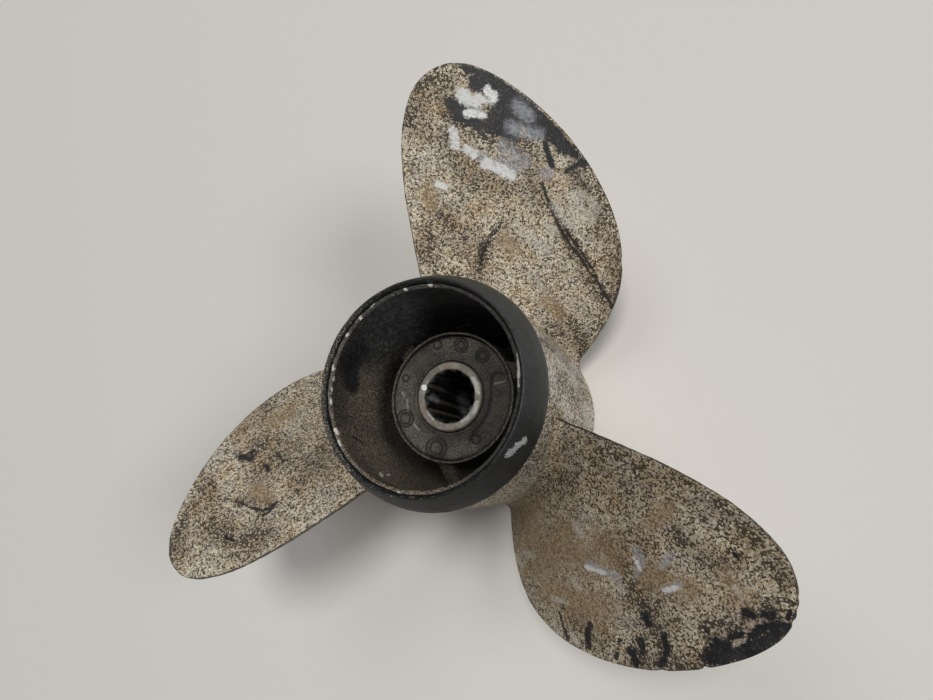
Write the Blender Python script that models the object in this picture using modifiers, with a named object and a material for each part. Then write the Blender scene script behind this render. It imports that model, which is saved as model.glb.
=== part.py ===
# A used three-blade outboard propeller whose exhaust leaves through the hub.
# Z is the shaft's axis and aft is up. Heights are given from the barrel's forward rim,
# and one empty lowers everything so that the origin is the balance point on the axis.
# The barrel, the blades, the webs and the inner tube are one casting on the real propeller.

import math

import bmesh
import bpy

COLLECTION_NAME = "outboard_propeller"

# Driving dimensions, in metres and degrees
GAP = 0.0003
MERGE_DISTANCE = 0.00001
ROUND_STEPS = 72
SMOOTH_ANGLE = 32.0
BALANCE_HEIGHT = 0.0560

HUB_LENGTH = 0.117
BARREL_AFT_RADIUS = 0.0448
BARREL_FORWARD_RADIUS = 0.0426
COLLAR_RADIUS = 0.0414
COLLAR_LENGTH = 0.013
BARREL_BORE_AFT = 0.0385
BARREL_BORE_FORWARD = 0.0380
FORWARD_RIM_CHAMFER = 0.0006

RING_LENGTH = 0.0157
RING_RADIUS = 0.0450
RING_BULGE = 0.0006
RING_SKIRT = 0.0015
RIM_RADIUS = 0.0404
RIM_LAND_IN = 0.0008
RIM_LAND_OUT = 0.0004
RIM_ROUND = 0.0008
RIM_SWELL = 0.0002
RIM_INNER_DROP = 0.0012
LIP_DROP = 0.0024
LIP_RADIUS = 0.0384
LIP_BORE = 0.0370
NECK_RADIUS = 0.0424

TUBE_AFT_HEIGHT = 0.0860
TUBE_FORWARD_HEIGHT = 0.0030
TUBE_AFT_RADIUS = 0.0266
TUBE_FORWARD_RADIUS = 0.0285
TUBE_CHAMFER = 0.0005
TUBE_SEAT_HEIGHT = 0.0140
TUBE_SEAT_BORE = 0.0190

BUSH_RADIUS = 0.0247
BUSH_FACE_HEIGHT = 0.0863
BUSH_INNER_CHAMFER = 0.0010
BUSH_OUTER_CHAMFER = 0.0008

SLEEVE_RADIUS = 0.0141
SLEEVE_AFT_HEIGHT = 0.0870
SLEEVE_FORWARD_HEIGHT = 0.0080
SLEEVE_CHAMFER = 0.0008
SLEEVE_PILOT_RADIUS = 0.0070
SLEEVE_MOUTH_RADIUS = 0.0112
SLEEVE_MOUTH_DEPTH = 0.0042
SPLINE_TEETH = 13
SPLINE_CORNERS = 4
SPLINE_TIP_RADIUS = 0.0096
SPLINE_ROOT_RADIUS = 0.0110
SPLINE_CUT_ROOM = 0.0040

WEB_COUNT = 3
WEB_FIRST_ANGLE = 157.0
WEB_THICKNESS = 0.0065
WEB_FORWARD_HEIGHT = 0.0060
WEB_AFT_HEIGHT_IN = 0.0840
WEB_AFT_HEIGHT_OUT = 0.0660
# Radius and height of the points where the web's sloping aft edge bends
WEB_AFT_BENDS = ((0.0345, 0.0695), (0.0315, 0.0750))
WEB_CORNER_ROOM = 0.0002

BLADE_COUNT = 3
BLADE_FIRST_ANGLE = 90.0
TIP_RADIUS = 0.1386
# Radius, leading edge angle and trailing edge angle, from the tip down to the root
BLADE_OUTLINE = (
    (TIP_RADIUS, 11.4, 11.4),
    (0.1350, 4.9, 16.7),
    (0.1290, -1.2, 19.6),
    (0.1200, -9.5, 21.9),
    (0.1100, -17.9, 23.7),
    (0.0980, -26.7, 25.2),
    (0.0850, -33.6, 26.6),
    (0.0700, -38.2, 28.0),
    (0.0430, -43.0, 31.4),
)

# The aft face of a blade: a helicoid that is raked aft and cambered along its chord
BLADE_MID_HEIGHT = 0.0627
PITCH_RISE = 0.0520
PITCH_GAIN = 0.076
RAKE = 0.351
RAKE_EASE = -0.585
CAMBER = -0.0190
CURL = -0.0027

ROOT_THICKNESS = 0.0100
TIP_THICKNESS = 0.0032
EDGE_THICKNESS = 0.0016
THINNING = 0.8
FULLNESS = 0.7
ROOT_FILLET = 0.0050
FILLET_STATIONS = (0.0, 0.10, 0.28, 0.58, 1.0)
SPAN_STATIONS = 15
CHORD_STEPS = 14
CHORD_CROWDING = 0.04
EDGE_STEPS = 4
TIP_MARGIN = 0.00002
BLADE_SMOOTH_ANGLE = 50.0

# Colour, roughness and metallic value of each finish
FINISHES = {
    "cast_aluminium": ((0.30, 0.25, 0.19), 0.65, 0.45),
    "black_ring": ((0.035, 0.042, 0.050), 0.45, 0.0),
    "bush_rubber": ((0.045, 0.040, 0.036), 0.75, 0.0),
    "sleeve_steel": ((0.33, 0.31, 0.28), 0.50, 0.85),
}


def clear_scene():
    for obj in list(bpy.data.objects):
        bpy.data.objects.remove(obj, do_unlink=True)


def make_collection(name):
    collection = bpy.data.collections.new(name)
    bpy.context.scene.collection.children.link(collection)
    return collection


def make_material(name):
    colour, roughness, metallic = FINISHES[name]
    material = bpy.data.materials.new(name)
    material.use_nodes = True
    shader = material.node_tree.nodes["Principled BSDF"]
    shader.inputs["Base Color"].default_value = (*colour, 1.0)
    shader.inputs["Roughness"].default_value = roughness
    shader.inputs["Metallic"].default_value = metallic
    material.diffuse_color = (*colour, 1.0)
    return material


def add_object(name, mesh, collection, material, parent):
    obj = bpy.data.objects.new(name, mesh)
    collection.objects.link(obj)
    obj.parent = parent
    if not mesh.materials:
        mesh.materials.append(material)
    return obj


def settle(obj):
    """Replace an object's mesh by what its modifiers make of it, with smooth round sides."""
    graph = bpy.context.evaluated_depsgraph_get()
    mesh = bpy.data.meshes.new_from_object(obj.evaluated_get(graph))
    obj.modifiers.clear()
    obj.data = mesh
    mesh.shade_smooth()
    mesh.set_sharp_from_angle(angle=math.radians(SMOOTH_ANGLE))


def turned(name, profile, steps, collection, material, parent):
    """A closed profile of (radius, height) points, turned round Z. It runs down the outer side."""
    mesh = bpy.data.meshes.new(name)
    points = [(radius, 0.0, height) for radius, height in profile]
    edges = [(i, (i + 1) % len(points)) for i in range(len(points))]
    mesh.from_pydata(points, edges, [])
    obj = add_object(name, mesh, collection, material, parent)
    screw = obj.modifiers.new("turn", "SCREW")
    screw.steps = steps
    screw.render_steps = steps
    screw.use_merge_vertices = True
    screw.merge_threshold = MERGE_DISTANCE
    settle(obj)
    return obj


def barrel_radius(height):
    """Radius of the barrel's outside at one height, between its forward rim and the ring."""
    share = height / (HUB_LENGTH - RING_LENGTH)
    return BARREL_FORWARD_RADIUS + (BARREL_AFT_RADIUS - BARREL_FORWARD_RADIUS) * share


def tube_radius(height):
    """Radius of the inner tube's outside at one height."""
    share = (height - TUBE_FORWARD_HEIGHT) / (TUBE_AFT_HEIGHT - TUBE_FORWARD_HEIGHT)
    return TUBE_FORWARD_RADIUS + (TUBE_AFT_RADIUS - TUBE_FORWARD_RADIUS) * share


def bore_radius(height):
    """Radius of the barrel's inside at one height, forward of the ring."""
    share = height / (HUB_LENGTH - RING_LENGTH)
    return BARREL_BORE_FORWARD + (BARREL_BORE_AFT - BARREL_BORE_FORWARD) * share


def make_barrel(collection, material, parent):
    step = HUB_LENGTH - RING_LENGTH
    profile = [
        (LIP_BORE, HUB_LENGTH - LIP_DROP),
        (LIP_RADIUS, HUB_LENGTH - LIP_DROP),
        (NECK_RADIUS, step),
        (barrel_radius(step), step),
        (barrel_radius(COLLAR_LENGTH), COLLAR_LENGTH),
        (COLLAR_RADIUS, COLLAR_LENGTH),
        (COLLAR_RADIUS, FORWARD_RIM_CHAMFER),
        (COLLAR_RADIUS - FORWARD_RIM_CHAMFER, 0.0),
        (BARREL_BORE_FORWARD, 0.0),
        (BARREL_BORE_AFT, step),
    ]
    return turned("hub_barrel", profile, ROUND_STEPS, collection, material, parent)


def make_ring(collection, material, parent):
    """The tapering ring on the barrel's aft neck, with a rounded outer side."""
    foot = HUB_LENGTH - RING_LENGTH + GAP
    middle = ((RIM_RADIUS + RING_RADIUS) / 2 + RING_BULGE, HUB_LENGTH - RING_LENGTH / 2)
    profile = [
        (LIP_RADIUS + GAP, HUB_LENGTH - RIM_INNER_DROP),
        (RIM_RADIUS - RIM_LAND_IN, HUB_LENGTH),
        (RIM_RADIUS - RIM_LAND_OUT, HUB_LENGTH),
        (RIM_RADIUS + RIM_SWELL, HUB_LENGTH - RIM_ROUND),
        middle,
        (RING_RADIUS, foot + RING_SKIRT),
        (RING_RADIUS, foot),
        (NECK_RADIUS + GAP, foot),
        (LIP_RADIUS + GAP, HUB_LENGTH - LIP_DROP),
    ]
    return turned("aft_ring", profile, ROUND_STEPS, collection, material, parent)


def make_tube(collection, material, parent):
    """The inner tube that holds the bush, with a seat at its forward end."""
    bore = BUSH_RADIUS + GAP
    profile = [
        (bore, TUBE_AFT_HEIGHT),
        (TUBE_AFT_RADIUS - TUBE_CHAMFER, TUBE_AFT_HEIGHT),
        (TUBE_AFT_RADIUS, TUBE_AFT_HEIGHT - TUBE_CHAMFER),
        (TUBE_FORWARD_RADIUS, TUBE_FORWARD_HEIGHT),
        (TUBE_SEAT_BORE, TUBE_FORWARD_HEIGHT),
        (TUBE_SEAT_BORE, TUBE_SEAT_HEIGHT),
        (bore, TUBE_SEAT_HEIGHT),
    ]
    return turned("inner_tube", profile, ROUND_STEPS, collection, material, parent)


def make_bush(collection, material, parent):
    """The rubber bush between the inner tube and the sleeve."""
    bore = SLEEVE_RADIUS + GAP
    foot = TUBE_SEAT_HEIGHT + GAP
    profile = [
        (bore, BUSH_FACE_HEIGHT - BUSH_INNER_CHAMFER),
        (bore + BUSH_INNER_CHAMFER, BUSH_FACE_HEIGHT),
        (BUSH_RADIUS - BUSH_OUTER_CHAMFER, BUSH_FACE_HEIGHT),
        (BUSH_RADIUS, BUSH_FACE_HEIGHT - BUSH_OUTER_CHAMFER),
        (BUSH_RADIUS, foot),
        (bore, foot),
    ]
    return turned("rubber_bush", profile, ROUND_STEPS, collection, material, parent)


def make_spline_cutter(cutters, parent):
    """A rod with one ridge for each groove of the spline, to cut the sleeve's bore."""
    height = SLEEVE_AFT_HEIGHT - SLEEVE_FORWARD_HEIGHT + SPLINE_CUT_ROOM
    segments = SPLINE_TEETH * SPLINE_CORNERS
    shape = bmesh.new()
    bmesh.ops.create_cone(
        shape, cap_ends=True, segments=segments, radius1=1.0, radius2=1.0, depth=height
    )
    for vert in shape.verts:
        angle = math.atan2(vert.co.y, vert.co.x) % math.tau
        corner = round(angle / math.tau * segments) % SPLINE_CORNERS
        radius = SPLINE_ROOT_RADIUS if corner in (0, 1) else SPLINE_TIP_RADIUS
        direction = vert.co.xy.normalized()
        vert.co.x = direction.x * radius
        vert.co.y = direction.y * radius
    mesh = bpy.data.meshes.new("spline_cutter")
    shape.to_mesh(mesh)
    shape.free()
    cutter = bpy.data.objects.new("spline_cutter", mesh)
    cutters.objects.link(cutter)
    cutter.parent = parent
    cutter.location.z = (SLEEVE_AFT_HEIGHT + SLEEVE_FORWARD_HEIGHT) / 2
    cutter.hide_render = True
    cutter.display_type = "WIRE"
    return cutter


def make_sleeve(collection, cutters, material, parent):
    """The splined metal sleeve that slides onto the shaft, with a cone at each mouth."""
    top = SLEEVE_AFT_HEIGHT
    foot = SLEEVE_FORWARD_HEIGHT
    profile = [
        (SLEEVE_PILOT_RADIUS, top - SLEEVE_MOUTH_DEPTH),
        (SLEEVE_MOUTH_RADIUS, top),
        (SLEEVE_RADIUS - SLEEVE_CHAMFER, top),
        (SLEEVE_RADIUS, top - SLEEVE_CHAMFER),
        (SLEEVE_RADIUS, foot + SLEEVE_CHAMFER),
        (SLEEVE_RADIUS - SLEEVE_CHAMFER, foot),
        (SLEEVE_MOUTH_RADIUS, foot),
        (SLEEVE_PILOT_RADIUS, foot + SLEEVE_MOUTH_DEPTH),
    ]
    steps = SPLINE_TEETH * SPLINE_CORNERS
    sleeve = turned("splined_sleeve", profile, steps, collection, material, parent)
    cut = sleeve.modifiers.new("spline", "BOOLEAN")
    cut.operation = "DIFFERENCE"
    cut.object = make_spline_cutter(cutters, parent)
    bpy.context.view_layer.update()
    settle(sleeve)
    return sleeve


def make_web(index, collection, material, parent):
    """One web between the inner tube and the barrel, with its aft edge sloping forward."""
    feet = WEB_FORWARD_HEIGHT
    aft_in = WEB_AFT_HEIGHT_IN
    aft_out = WEB_AFT_HEIGHT_OUT
    outline = [
        (tube_radius(feet) + GAP, feet),
        (bore_radius(feet) - GAP - WEB_CORNER_ROOM, feet),
        (bore_radius(aft_out) - GAP - WEB_CORNER_ROOM, aft_out),
        *WEB_AFT_BENDS,
        (tube_radius(aft_in) + GAP, aft_in),
    ]
    curve = bpy.data.curves.new(f"web_{index}", "CURVE")
    curve.dimensions = "2D"
    curve.fill_mode = "BOTH"
    curve.extrude = WEB_THICKNESS / 2
    spline = curve.splines.new("POLY")
    spline.points.add(len(outline) - 1)
    for point, (radius, height) in zip(spline.points, outline):
        point.co = (radius, height, 0.0, 1.0)
    spline.use_cyclic_u = True
    flat = bpy.data.objects.new(f"web_{index}_outline", curve)
    collection.objects.link(flat)
    graph = bpy.context.evaluated_depsgraph_get()
    mesh = bpy.data.meshes.new_from_object(flat.evaluated_get(graph))
    bpy.data.objects.remove(flat)
    shape = bmesh.new()
    shape.from_mesh(mesh)
    bmesh.ops.remove_doubles(shape, verts=shape.verts, dist=MERGE_DISTANCE)
    shape.to_mesh(mesh)
    shape.free()
    web = add_object(f"web_{index}", mesh, collection, material, parent)
    turn = WEB_FIRST_ANGLE + (index - 1) * 360 / WEB_COUNT
    web.rotation_euler = (math.radians(90), 0.0, math.radians(turn))
    return web


def edge_angles(radius):
    """Leading and trailing edge angles at one radius, by a smooth curve through the outline.
    Along the root of the distance to the tip, the round tip becomes a straight run."""
    reach = math.sqrt(max(TIP_RADIUS - radius, 0.0))
    rows = [(math.sqrt(TIP_RADIUS - row[0]), row[1], row[2]) for row in BLADE_OUTLINE]
    last = len(rows) - 1
    slot = max(i for i in range(last) if i == 0 or rows[i][0] <= reach)
    start, end = rows[slot], rows[slot + 1]
    before, after = rows[max(slot - 1, 0)], rows[min(slot + 2, last)]
    width = end[0] - start[0]
    t = (reach - start[0]) / width
    angles = []
    for side in (1, 2):
        slope_in = (end[side] - before[side]) / (end[0] - before[0]) * width
        slope_out = (after[side] - start[side]) / (after[0] - start[0]) * width
        value = (2 * t**3 - 3 * t**2 + 1) * start[side] + (t**3 - 2 * t**2 + t) * slope_in
        value += (3 * t**2 - 2 * t**3) * end[side] + (t**3 - t**2) * slope_out
        angles.append(math.radians(value))
    return angles


def face_height(radius, angle):
    """Height of a blade's aft face at a radius and at an angle from its centre line."""
    out = radius - BARREL_AFT_RADIUS
    rise = (PITCH_RISE + PITCH_GAIN * out) * angle + CAMBER * angle**2 + CURL * angle**3
    return BLADE_MID_HEIGHT + RAKE * out + RAKE_EASE * out**2 + rise


def face_slope(radius, angle):
    """Slope angle of the blade's section, along a circle of that radius."""
    small = 0.001
    climb = face_height(radius, angle + small) - face_height(radius, angle - small)
    return math.atan2(climb, 2 * small * radius)


def section_thickness(radius, chord_share):
    """Thickness across the section, thickest near mid chord and thinner to the tip."""
    span_share = (radius - BARREL_AFT_RADIUS) / (TIP_RADIUS - BARREL_AFT_RADIUS)
    thickest = ROOT_THICKNESS + (TIP_THICKNESS - ROOT_THICKNESS) * span_share**THINNING
    fullness = max(4 * chord_share * (1 - chord_share), 0.0) ** FULLNESS
    return EDGE_THICKNESS + (thickest - EDGE_THICKNESS) * fullness


def fillet_growth(rise):
    """How far the root fillet stands out from the blade at this rise above the barrel."""
    left = max(ROOT_FILLET - rise, 0.0)
    return ROOT_FILLET - math.sqrt(ROOT_FILLET**2 - left**2)


def section_point(radius, chord_step, depth_share, growth):
    """A point of the blade's section as (angle, height). Depth 0 is the aft face, 1 the other."""
    lead, trail = edge_angles(radius)
    edge = EDGE_THICKNESS / 2
    inset = (edge - growth) / (radius / math.cos(face_slope(radius, (lead + trail) / 2)))
    lead, trail = lead + inset, trail - inset
    chord_share = chord_step / CHORD_STEPS
    chord_share -= CHORD_CROWDING * math.sin(math.tau * chord_share)
    angle = lead + (trail - lead) * chord_share
    slope = face_slope(radius, angle)
    thickness = section_thickness(radius, chord_share)
    depth = depth_share * (thickness + 2 * growth) - growth
    along = 0.0
    if chord_step in (0, CHORD_STEPS):
        side = -1 if chord_step == 0 else 1
        along = side * edge * math.sin(math.pi * depth_share)
    turn = (along * math.cos(slope) + depth * math.sin(slope)) / radius
    height = face_height(radius, angle) + along * math.sin(slope) - depth * math.cos(slope)
    return angle + turn, height


def section_loop(radius, growth):
    """The section's steps, and their points: aft face, trailing edge, forward face, leading edge."""
    steps = [(i, 0.0) for i in range(CHORD_STEPS + 1)]
    steps += [(CHORD_STEPS, j / EDGE_STEPS) for j in range(1, EDGE_STEPS)]
    steps += [(i, 1.0) for i in range(CHORD_STEPS, -1, -1)]
    steps += [(0, j / EDGE_STEPS) for j in range(EDGE_STEPS - 1, 0, -1)]
    return steps, [section_point(radius, i, share, growth) for i, share in steps]


def blade_stations():
    """Radius and fillet growth of each section, from the root to just short of the tip."""
    root = BARREL_AFT_RADIUS
    stations = [(root + ROOT_FILLET * s, fillet_growth(ROOT_FILLET * s)) for s in FILLET_STATIONS]
    start = math.sqrt(TIP_RADIUS - stations[-1][0])
    for i in range(1, SPAN_STATIONS + 1):
        share = i / SPAN_STATIONS
        reach = start * (1 - share) + math.sqrt(TIP_MARGIN) * share
        stations.append((TIP_RADIUS - reach**2, 0.0))
    return stations


def seat_radius(station_radius, height):
    """A station's radius, moved so that the root follows the barrel's taper."""
    root = barrel_radius(height) + GAP
    share = (TIP_RADIUS - station_radius) / (TIP_RADIUS - BARREL_AFT_RADIUS)
    return TIP_RADIUS - (TIP_RADIUS - root) * share


def place(shape, angle, radius, height):
    return shape.verts.new((radius * math.cos(angle), radius * math.sin(angle), height))


def close_root(shape, loop, steps, growth):
    """Close the root with a grid of faces that follows the barrel's round side."""
    known = {(i, round(share * EDGE_STEPS)): vert for (i, share), vert in zip(steps, loop)}
    grid = {}
    for i in range(CHORD_STEPS + 1):
        for j in range(EDGE_STEPS + 1):
            vert = known.get((i, j))
            if vert is None:
                angle, height = section_point(BARREL_AFT_RADIUS, i, j / EDGE_STEPS, growth)
                vert = place(shape, angle, barrel_radius(height) + GAP, height)
            grid[i, j] = vert
    for i in range(CHORD_STEPS):
        for j in range(EDGE_STEPS):
            shape.faces.new((grid[i, j], grid[i, j + 1], grid[i + 1, j + 1], grid[i + 1, j]))


def make_blade_mesh():
    """The blade as a loft of its sections, pointing along +X before it is turned."""
    shape = bmesh.new()
    loops = []
    for radius, growth in blade_stations():
        steps, points = section_loop(radius, growth)
        loops.append([place(shape, a, seat_radius(radius, h), h) for a, h in points])
    count = len(steps)
    for inner, outer in zip(loops, loops[1:]):
        for k in range(count):
            n = (k + 1) % count
            shape.faces.new((inner[k], inner[n], outer[n], outer[k]))
    close_root(shape, loops[0], steps, blade_stations()[0][1])
    shape.faces.new(loops[-1])
    bmesh.ops.recalc_face_normals(shape, faces=shape.faces)
    mesh = bpy.data.meshes.new("blade")
    shape.to_mesh(mesh)
    shape.free()
    mesh.shade_smooth()
    mesh.set_sharp_from_angle(angle=math.radians(BLADE_SMOOTH_ANGLE))
    return mesh


def make_blades(collection, material, parent):
    """Blade 1 points along +Y and the others follow clockwise, seen from aft."""
    mesh = make_blade_mesh()
    for i in range(BLADE_COUNT):
        blade = add_object(f"blade_{i + 1}", mesh, collection, material, parent)
        blade.rotation_euler.z = math.radians(BLADE_FIRST_ANGLE - i * 360 / BLADE_COUNT)


def main():
    clear_scene()
    parts = make_collection(COLLECTION_NAME)
    cutters = make_collection("cutters")
    rim = bpy.data.objects.new("forward_rim_centre", None)
    rim.location.z = -BALANCE_HEIGHT
    parts.objects.link(rim)

    casting = make_material("cast_aluminium")
    black = make_material("black_ring")
    rubber = make_material("bush_rubber")
    steel = make_material("sleeve_steel")

    make_barrel(parts, casting, rim)
    make_tube(parts, casting, rim)
    for index in range(1, WEB_COUNT + 1):
        make_web(index, parts, casting, rim)
    make_blades(parts, casting, rim)
    make_ring(parts, black, rim)
    make_bush(parts, rubber, rim)
    make_sleeve(parts, cutters, steel, rim)
    bpy.context.view_layer.update()


main()
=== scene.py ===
# %% [markdown]
# # A worn propeller from a small outboard motor
#
# The real propeller is one aluminium casting: three raked blades round a hollow barrel, with an
# inner tube that holds a rubber bush and a splined steel sleeve. A black tapering ring closes the
# barrel's aft end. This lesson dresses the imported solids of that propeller. Every piece below
# stands where its solid stands, and adds what a camera sees: rounded edges, cast grain, flaking
# paint, soot and wear.

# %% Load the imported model
import math

import bmesh
import bpy
import numpy as np
from mathutils import Matrix, Vector, noise


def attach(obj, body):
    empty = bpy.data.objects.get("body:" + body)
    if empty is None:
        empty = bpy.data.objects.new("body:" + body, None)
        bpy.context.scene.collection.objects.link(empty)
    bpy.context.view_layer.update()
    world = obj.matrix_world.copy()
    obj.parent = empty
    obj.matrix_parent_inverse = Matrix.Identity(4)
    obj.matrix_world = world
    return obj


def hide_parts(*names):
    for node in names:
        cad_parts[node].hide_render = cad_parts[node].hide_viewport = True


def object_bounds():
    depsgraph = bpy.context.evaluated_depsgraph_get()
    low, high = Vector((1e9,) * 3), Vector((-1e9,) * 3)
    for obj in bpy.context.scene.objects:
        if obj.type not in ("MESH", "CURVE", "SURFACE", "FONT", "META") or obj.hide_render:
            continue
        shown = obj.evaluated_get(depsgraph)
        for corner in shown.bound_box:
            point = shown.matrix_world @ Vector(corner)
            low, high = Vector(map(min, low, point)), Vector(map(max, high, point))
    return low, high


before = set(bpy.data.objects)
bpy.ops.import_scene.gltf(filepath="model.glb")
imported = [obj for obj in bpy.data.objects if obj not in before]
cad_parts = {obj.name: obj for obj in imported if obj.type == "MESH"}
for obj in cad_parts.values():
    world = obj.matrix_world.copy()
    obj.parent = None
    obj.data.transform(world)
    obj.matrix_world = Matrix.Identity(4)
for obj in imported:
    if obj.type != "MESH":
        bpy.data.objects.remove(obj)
cad_low, cad_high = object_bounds()
FLOOR = cad_low.z
print(f"{len(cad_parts)} solids, standing on a floor at {FLOOR * 1000:.0f} mm")

# %% [markdown]
# ## The camera
#
# The propeller was photographed from above and close by, with a wide lens, so the blades
# nearest the lens look larger. A camera that was fitted to the photograph gives its place, its
# direction and its focal length in pixels. The same numbers turn a pixel of the photograph into a
# ray, which later tells where on a blade a scratch or a patch of paint lies.

# %% Set up the camera


def new_object(name, data):
    """A new object at the scene's origin that shows this data."""
    thing = bpy.data.objects.new(name, data)
    bpy.context.scene.collection.objects.link(thing)
    return thing


EYE = Vector((0.1096, -0.0080, 0.2722))
LOOK = Vector((-0.404, 0.104, -0.909)).normalized()
UPWARD = Vector((-0.185, 0.964, 0.193))
PHOTO_WIDTH, PHOTO_HEIGHT = 933, 700
FOCAL_PIXELS = 660.9
SENSOR_WIDTH = 36.0

right = LOOK.cross(UPWARD).normalized()
above = right.cross(LOOK)

lens = bpy.data.cameras.new("photo_camera")
lens.sensor_width = SENSOR_WIDTH
lens.lens = SENSOR_WIDTH * FOCAL_PIXELS / PHOTO_WIDTH
lens.clip_start = 0.01
camera = new_object("photo_camera", lens)
camera.matrix_world = Matrix((right, above, -LOOK)).transposed().to_4x4()
camera.location = EYE
bpy.context.scene.camera = camera


def photo_ray(pixel):
    """The direction in which the camera looks through one pixel of the photograph."""
    x, y = pixel
    ray = LOOK * FOCAL_PIXELS + right * (x - PHOTO_WIDTH / 2) - above * (y - PHOTO_HEIGHT / 2)
    return ray.normalized()


print(f"camera {EYE.length * 1000:.0f} mm from the balance point, lens {lens.lens:.1f} mm")

# %% [markdown]
# ## Formulas as nodes
#
# A node tree can hold a formula, but dozens of Math nodes are hard to read in a script. The small
# class below stands for one number in a tree. Adding or multiplying two of them adds the node
# that does so, which lets the blade's shape and the finishes be written as plain formulas.

# %% A number that flows through a node tree


def feed(slot, value):
    """Give a socket a wire or a plain value."""
    if isinstance(value, Wire):
        slot.id_data.links.new(value.socket, slot)
    else:
        slot.default_value = value


class Wire:
    """One number, colour or vector that comes out of a node."""

    def __init__(self, socket):
        self.socket = socket
        self.tree = socket.id_data

    def math(self, operation, *others):
        node = self.tree.nodes.new("ShaderNodeMath")
        node.operation = operation
        for slot, value in zip(node.inputs, (self, *others)):
            feed(slot, value)
        return Wire(node.outputs[0])

    def __add__(self, other):
        return self.math("ADD", other)

    def __sub__(self, other):
        return self.math("SUBTRACT", other)

    def __rsub__(self, other):
        return self.math("MULTIPLY", -1.0).math("ADD", other)

    def __mul__(self, other):
        return self.math("MULTIPLY", other)

    def __truediv__(self, other):
        return self.math("DIVIDE", other)

    def __pow__(self, other):
        return self.math("POWER", other)

    def clamp(self):
        return self.math("MAXIMUM", 0.0).math("MINIMUM", 1.0)

    def root(self):
        return self.math("MAXIMUM", 0.0).math("SQRT")

    __radd__ = __add__
    __rmul__ = __mul__


def add_node(tree, kind, inputs=(), output=0, **settings):
    """Put a node in a tree, set it up, feed its inputs and return one of its outputs."""
    node = tree.nodes.new(kind)
    for label, value in settings.items():
        setattr(node, label, value)
    for slot, value in inputs.items() if isinstance(inputs, dict) else enumerate(inputs):
        feed(node.inputs[slot], value)
    return Wire(node.outputs[output])


def ramp(value, low, high):
    """0 below low and 1 above high, with a soft step between. Low may be above high."""
    inputs = (value, low, high, 0.0, 1.0)
    return add_node(value.tree, "ShaderNodeMapRange", inputs, interpolation_type="SMOOTHSTEP")


def split(value):
    node = value.tree.nodes.new("ShaderNodeSeparateXYZ")
    feed(node.inputs[0], value)
    return [Wire(out) for out in node.outputs]


def combine(tree, x, y, z):
    return add_node(tree, "ShaderNodeCombineXYZ", (x, y, z))


def cloud(place, scale, detail=2.0, roughness=0.5, stretch=(1.0, 1.0, 1.0)):
    """Noise from 0 to 1 whose lumps are about 1/scale metres across."""
    spread = add_node(place.tree, "ShaderNodeVectorMath", (place, stretch), operation="MULTIPLY")
    inputs = {"Vector": spread, "Scale": scale, "Detail": detail, "Roughness": roughness}
    return add_node(place.tree, "ShaderNodeTexNoise", inputs)


def cells(place, scale):
    """A random number from 0 to 1 for each grain, with grains about 1/scale metres across."""
    inputs = {"Vector": place, "Scale": scale}
    return split(add_node(place.tree, "ShaderNodeTexVoronoi", inputs, "Color"))[0]


def mix(amount, below, over):
    """One colour laid over another where the amount is 1."""
    below, over = (c if isinstance(c, Wire) else (*c, 1.0) for c in (below, over))
    inputs = {0: amount, 6: below, 7: over}
    return add_node(amount.tree, "ShaderNodeMix", inputs, 2, data_type="RGBA")


def object_place(tree):
    """The place of each shaded point in its object's own coordinates."""
    return add_node(tree, "ShaderNodeTexCoord", output="Object")


def new_tree(name, kind, inputs, outputs):
    """An empty node group with named sockets. Returns it, its input wires and its output node."""
    tree = bpy.data.node_groups.new(name, kind)
    for side, sockets in (("INPUT", inputs), ("OUTPUT", outputs)):
        for label, (socket_type, value) in sockets.items():
            socket = tree.interface.new_socket(
                label, in_out=side, socket_type="NodeSocket" + socket_type
            )
            if value is not None:
                socket.default_value = value
    entry = tree.nodes.new("NodeGroupInput")
    ending = tree.nodes.new("NodeGroupOutput")
    wires = {label: Wire(entry.outputs[label]) for label in inputs}
    return tree, wires, ending


def place_group(tree, group, **values):
    """Put a node group in a tree, feed its inputs and return its outputs by name."""
    node = tree.nodes.new("ShaderNodeGroup")
    node.node_tree = group
    for label, value in values.items():
        feed(node.inputs[label.capitalize()], value)
    return {out.name: Wire(out) for out in node.outputs}


print("formula helpers ready")

# %% [markdown]
# ## Cast grain and stains
#
# Years in salt water have eaten the casting's skin, so its surface is a fine sand of light grains
# and dark pits, half a millimetre across, over soft stains of brown, yellow and purple. Both
# could be painted on an image, but textures worked out at those sizes cost nothing and never
# repeat. A Voronoi texture gives every grain its own lightness, and softer noises gather the
# grains into patches. One node group makes the pits, the stains and the height for the bump, and
# every cast piece uses it.

# %% Make the grain group
SPECK_SCALE = 1800.0
SAND_SCALE = 1750.0
GRIT_SCALE = 800.0
CRUST_SCALE = 260.0
STAIN_SCALE = 70.0
HUE_SCALE = 105.0

TAN = (0.470, 0.410, 0.325)
OCHRE = (0.525, 0.420, 0.265)
BROWN = (0.410, 0.275, 0.150)
PURPLE_GREY = (0.400, 0.350, 0.315)
OLIVE = (0.450, 0.430, 0.300)
DARK_CRUST = (0.230, 0.190, 0.145)
PALE_GRAIN = (0.790, 0.710, 0.575)
DIRT_AND_SHADE_BROWN = (0.240, 0.145, 0.068)
PIT_BROWN = (0.046, 0.037, 0.026)


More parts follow.
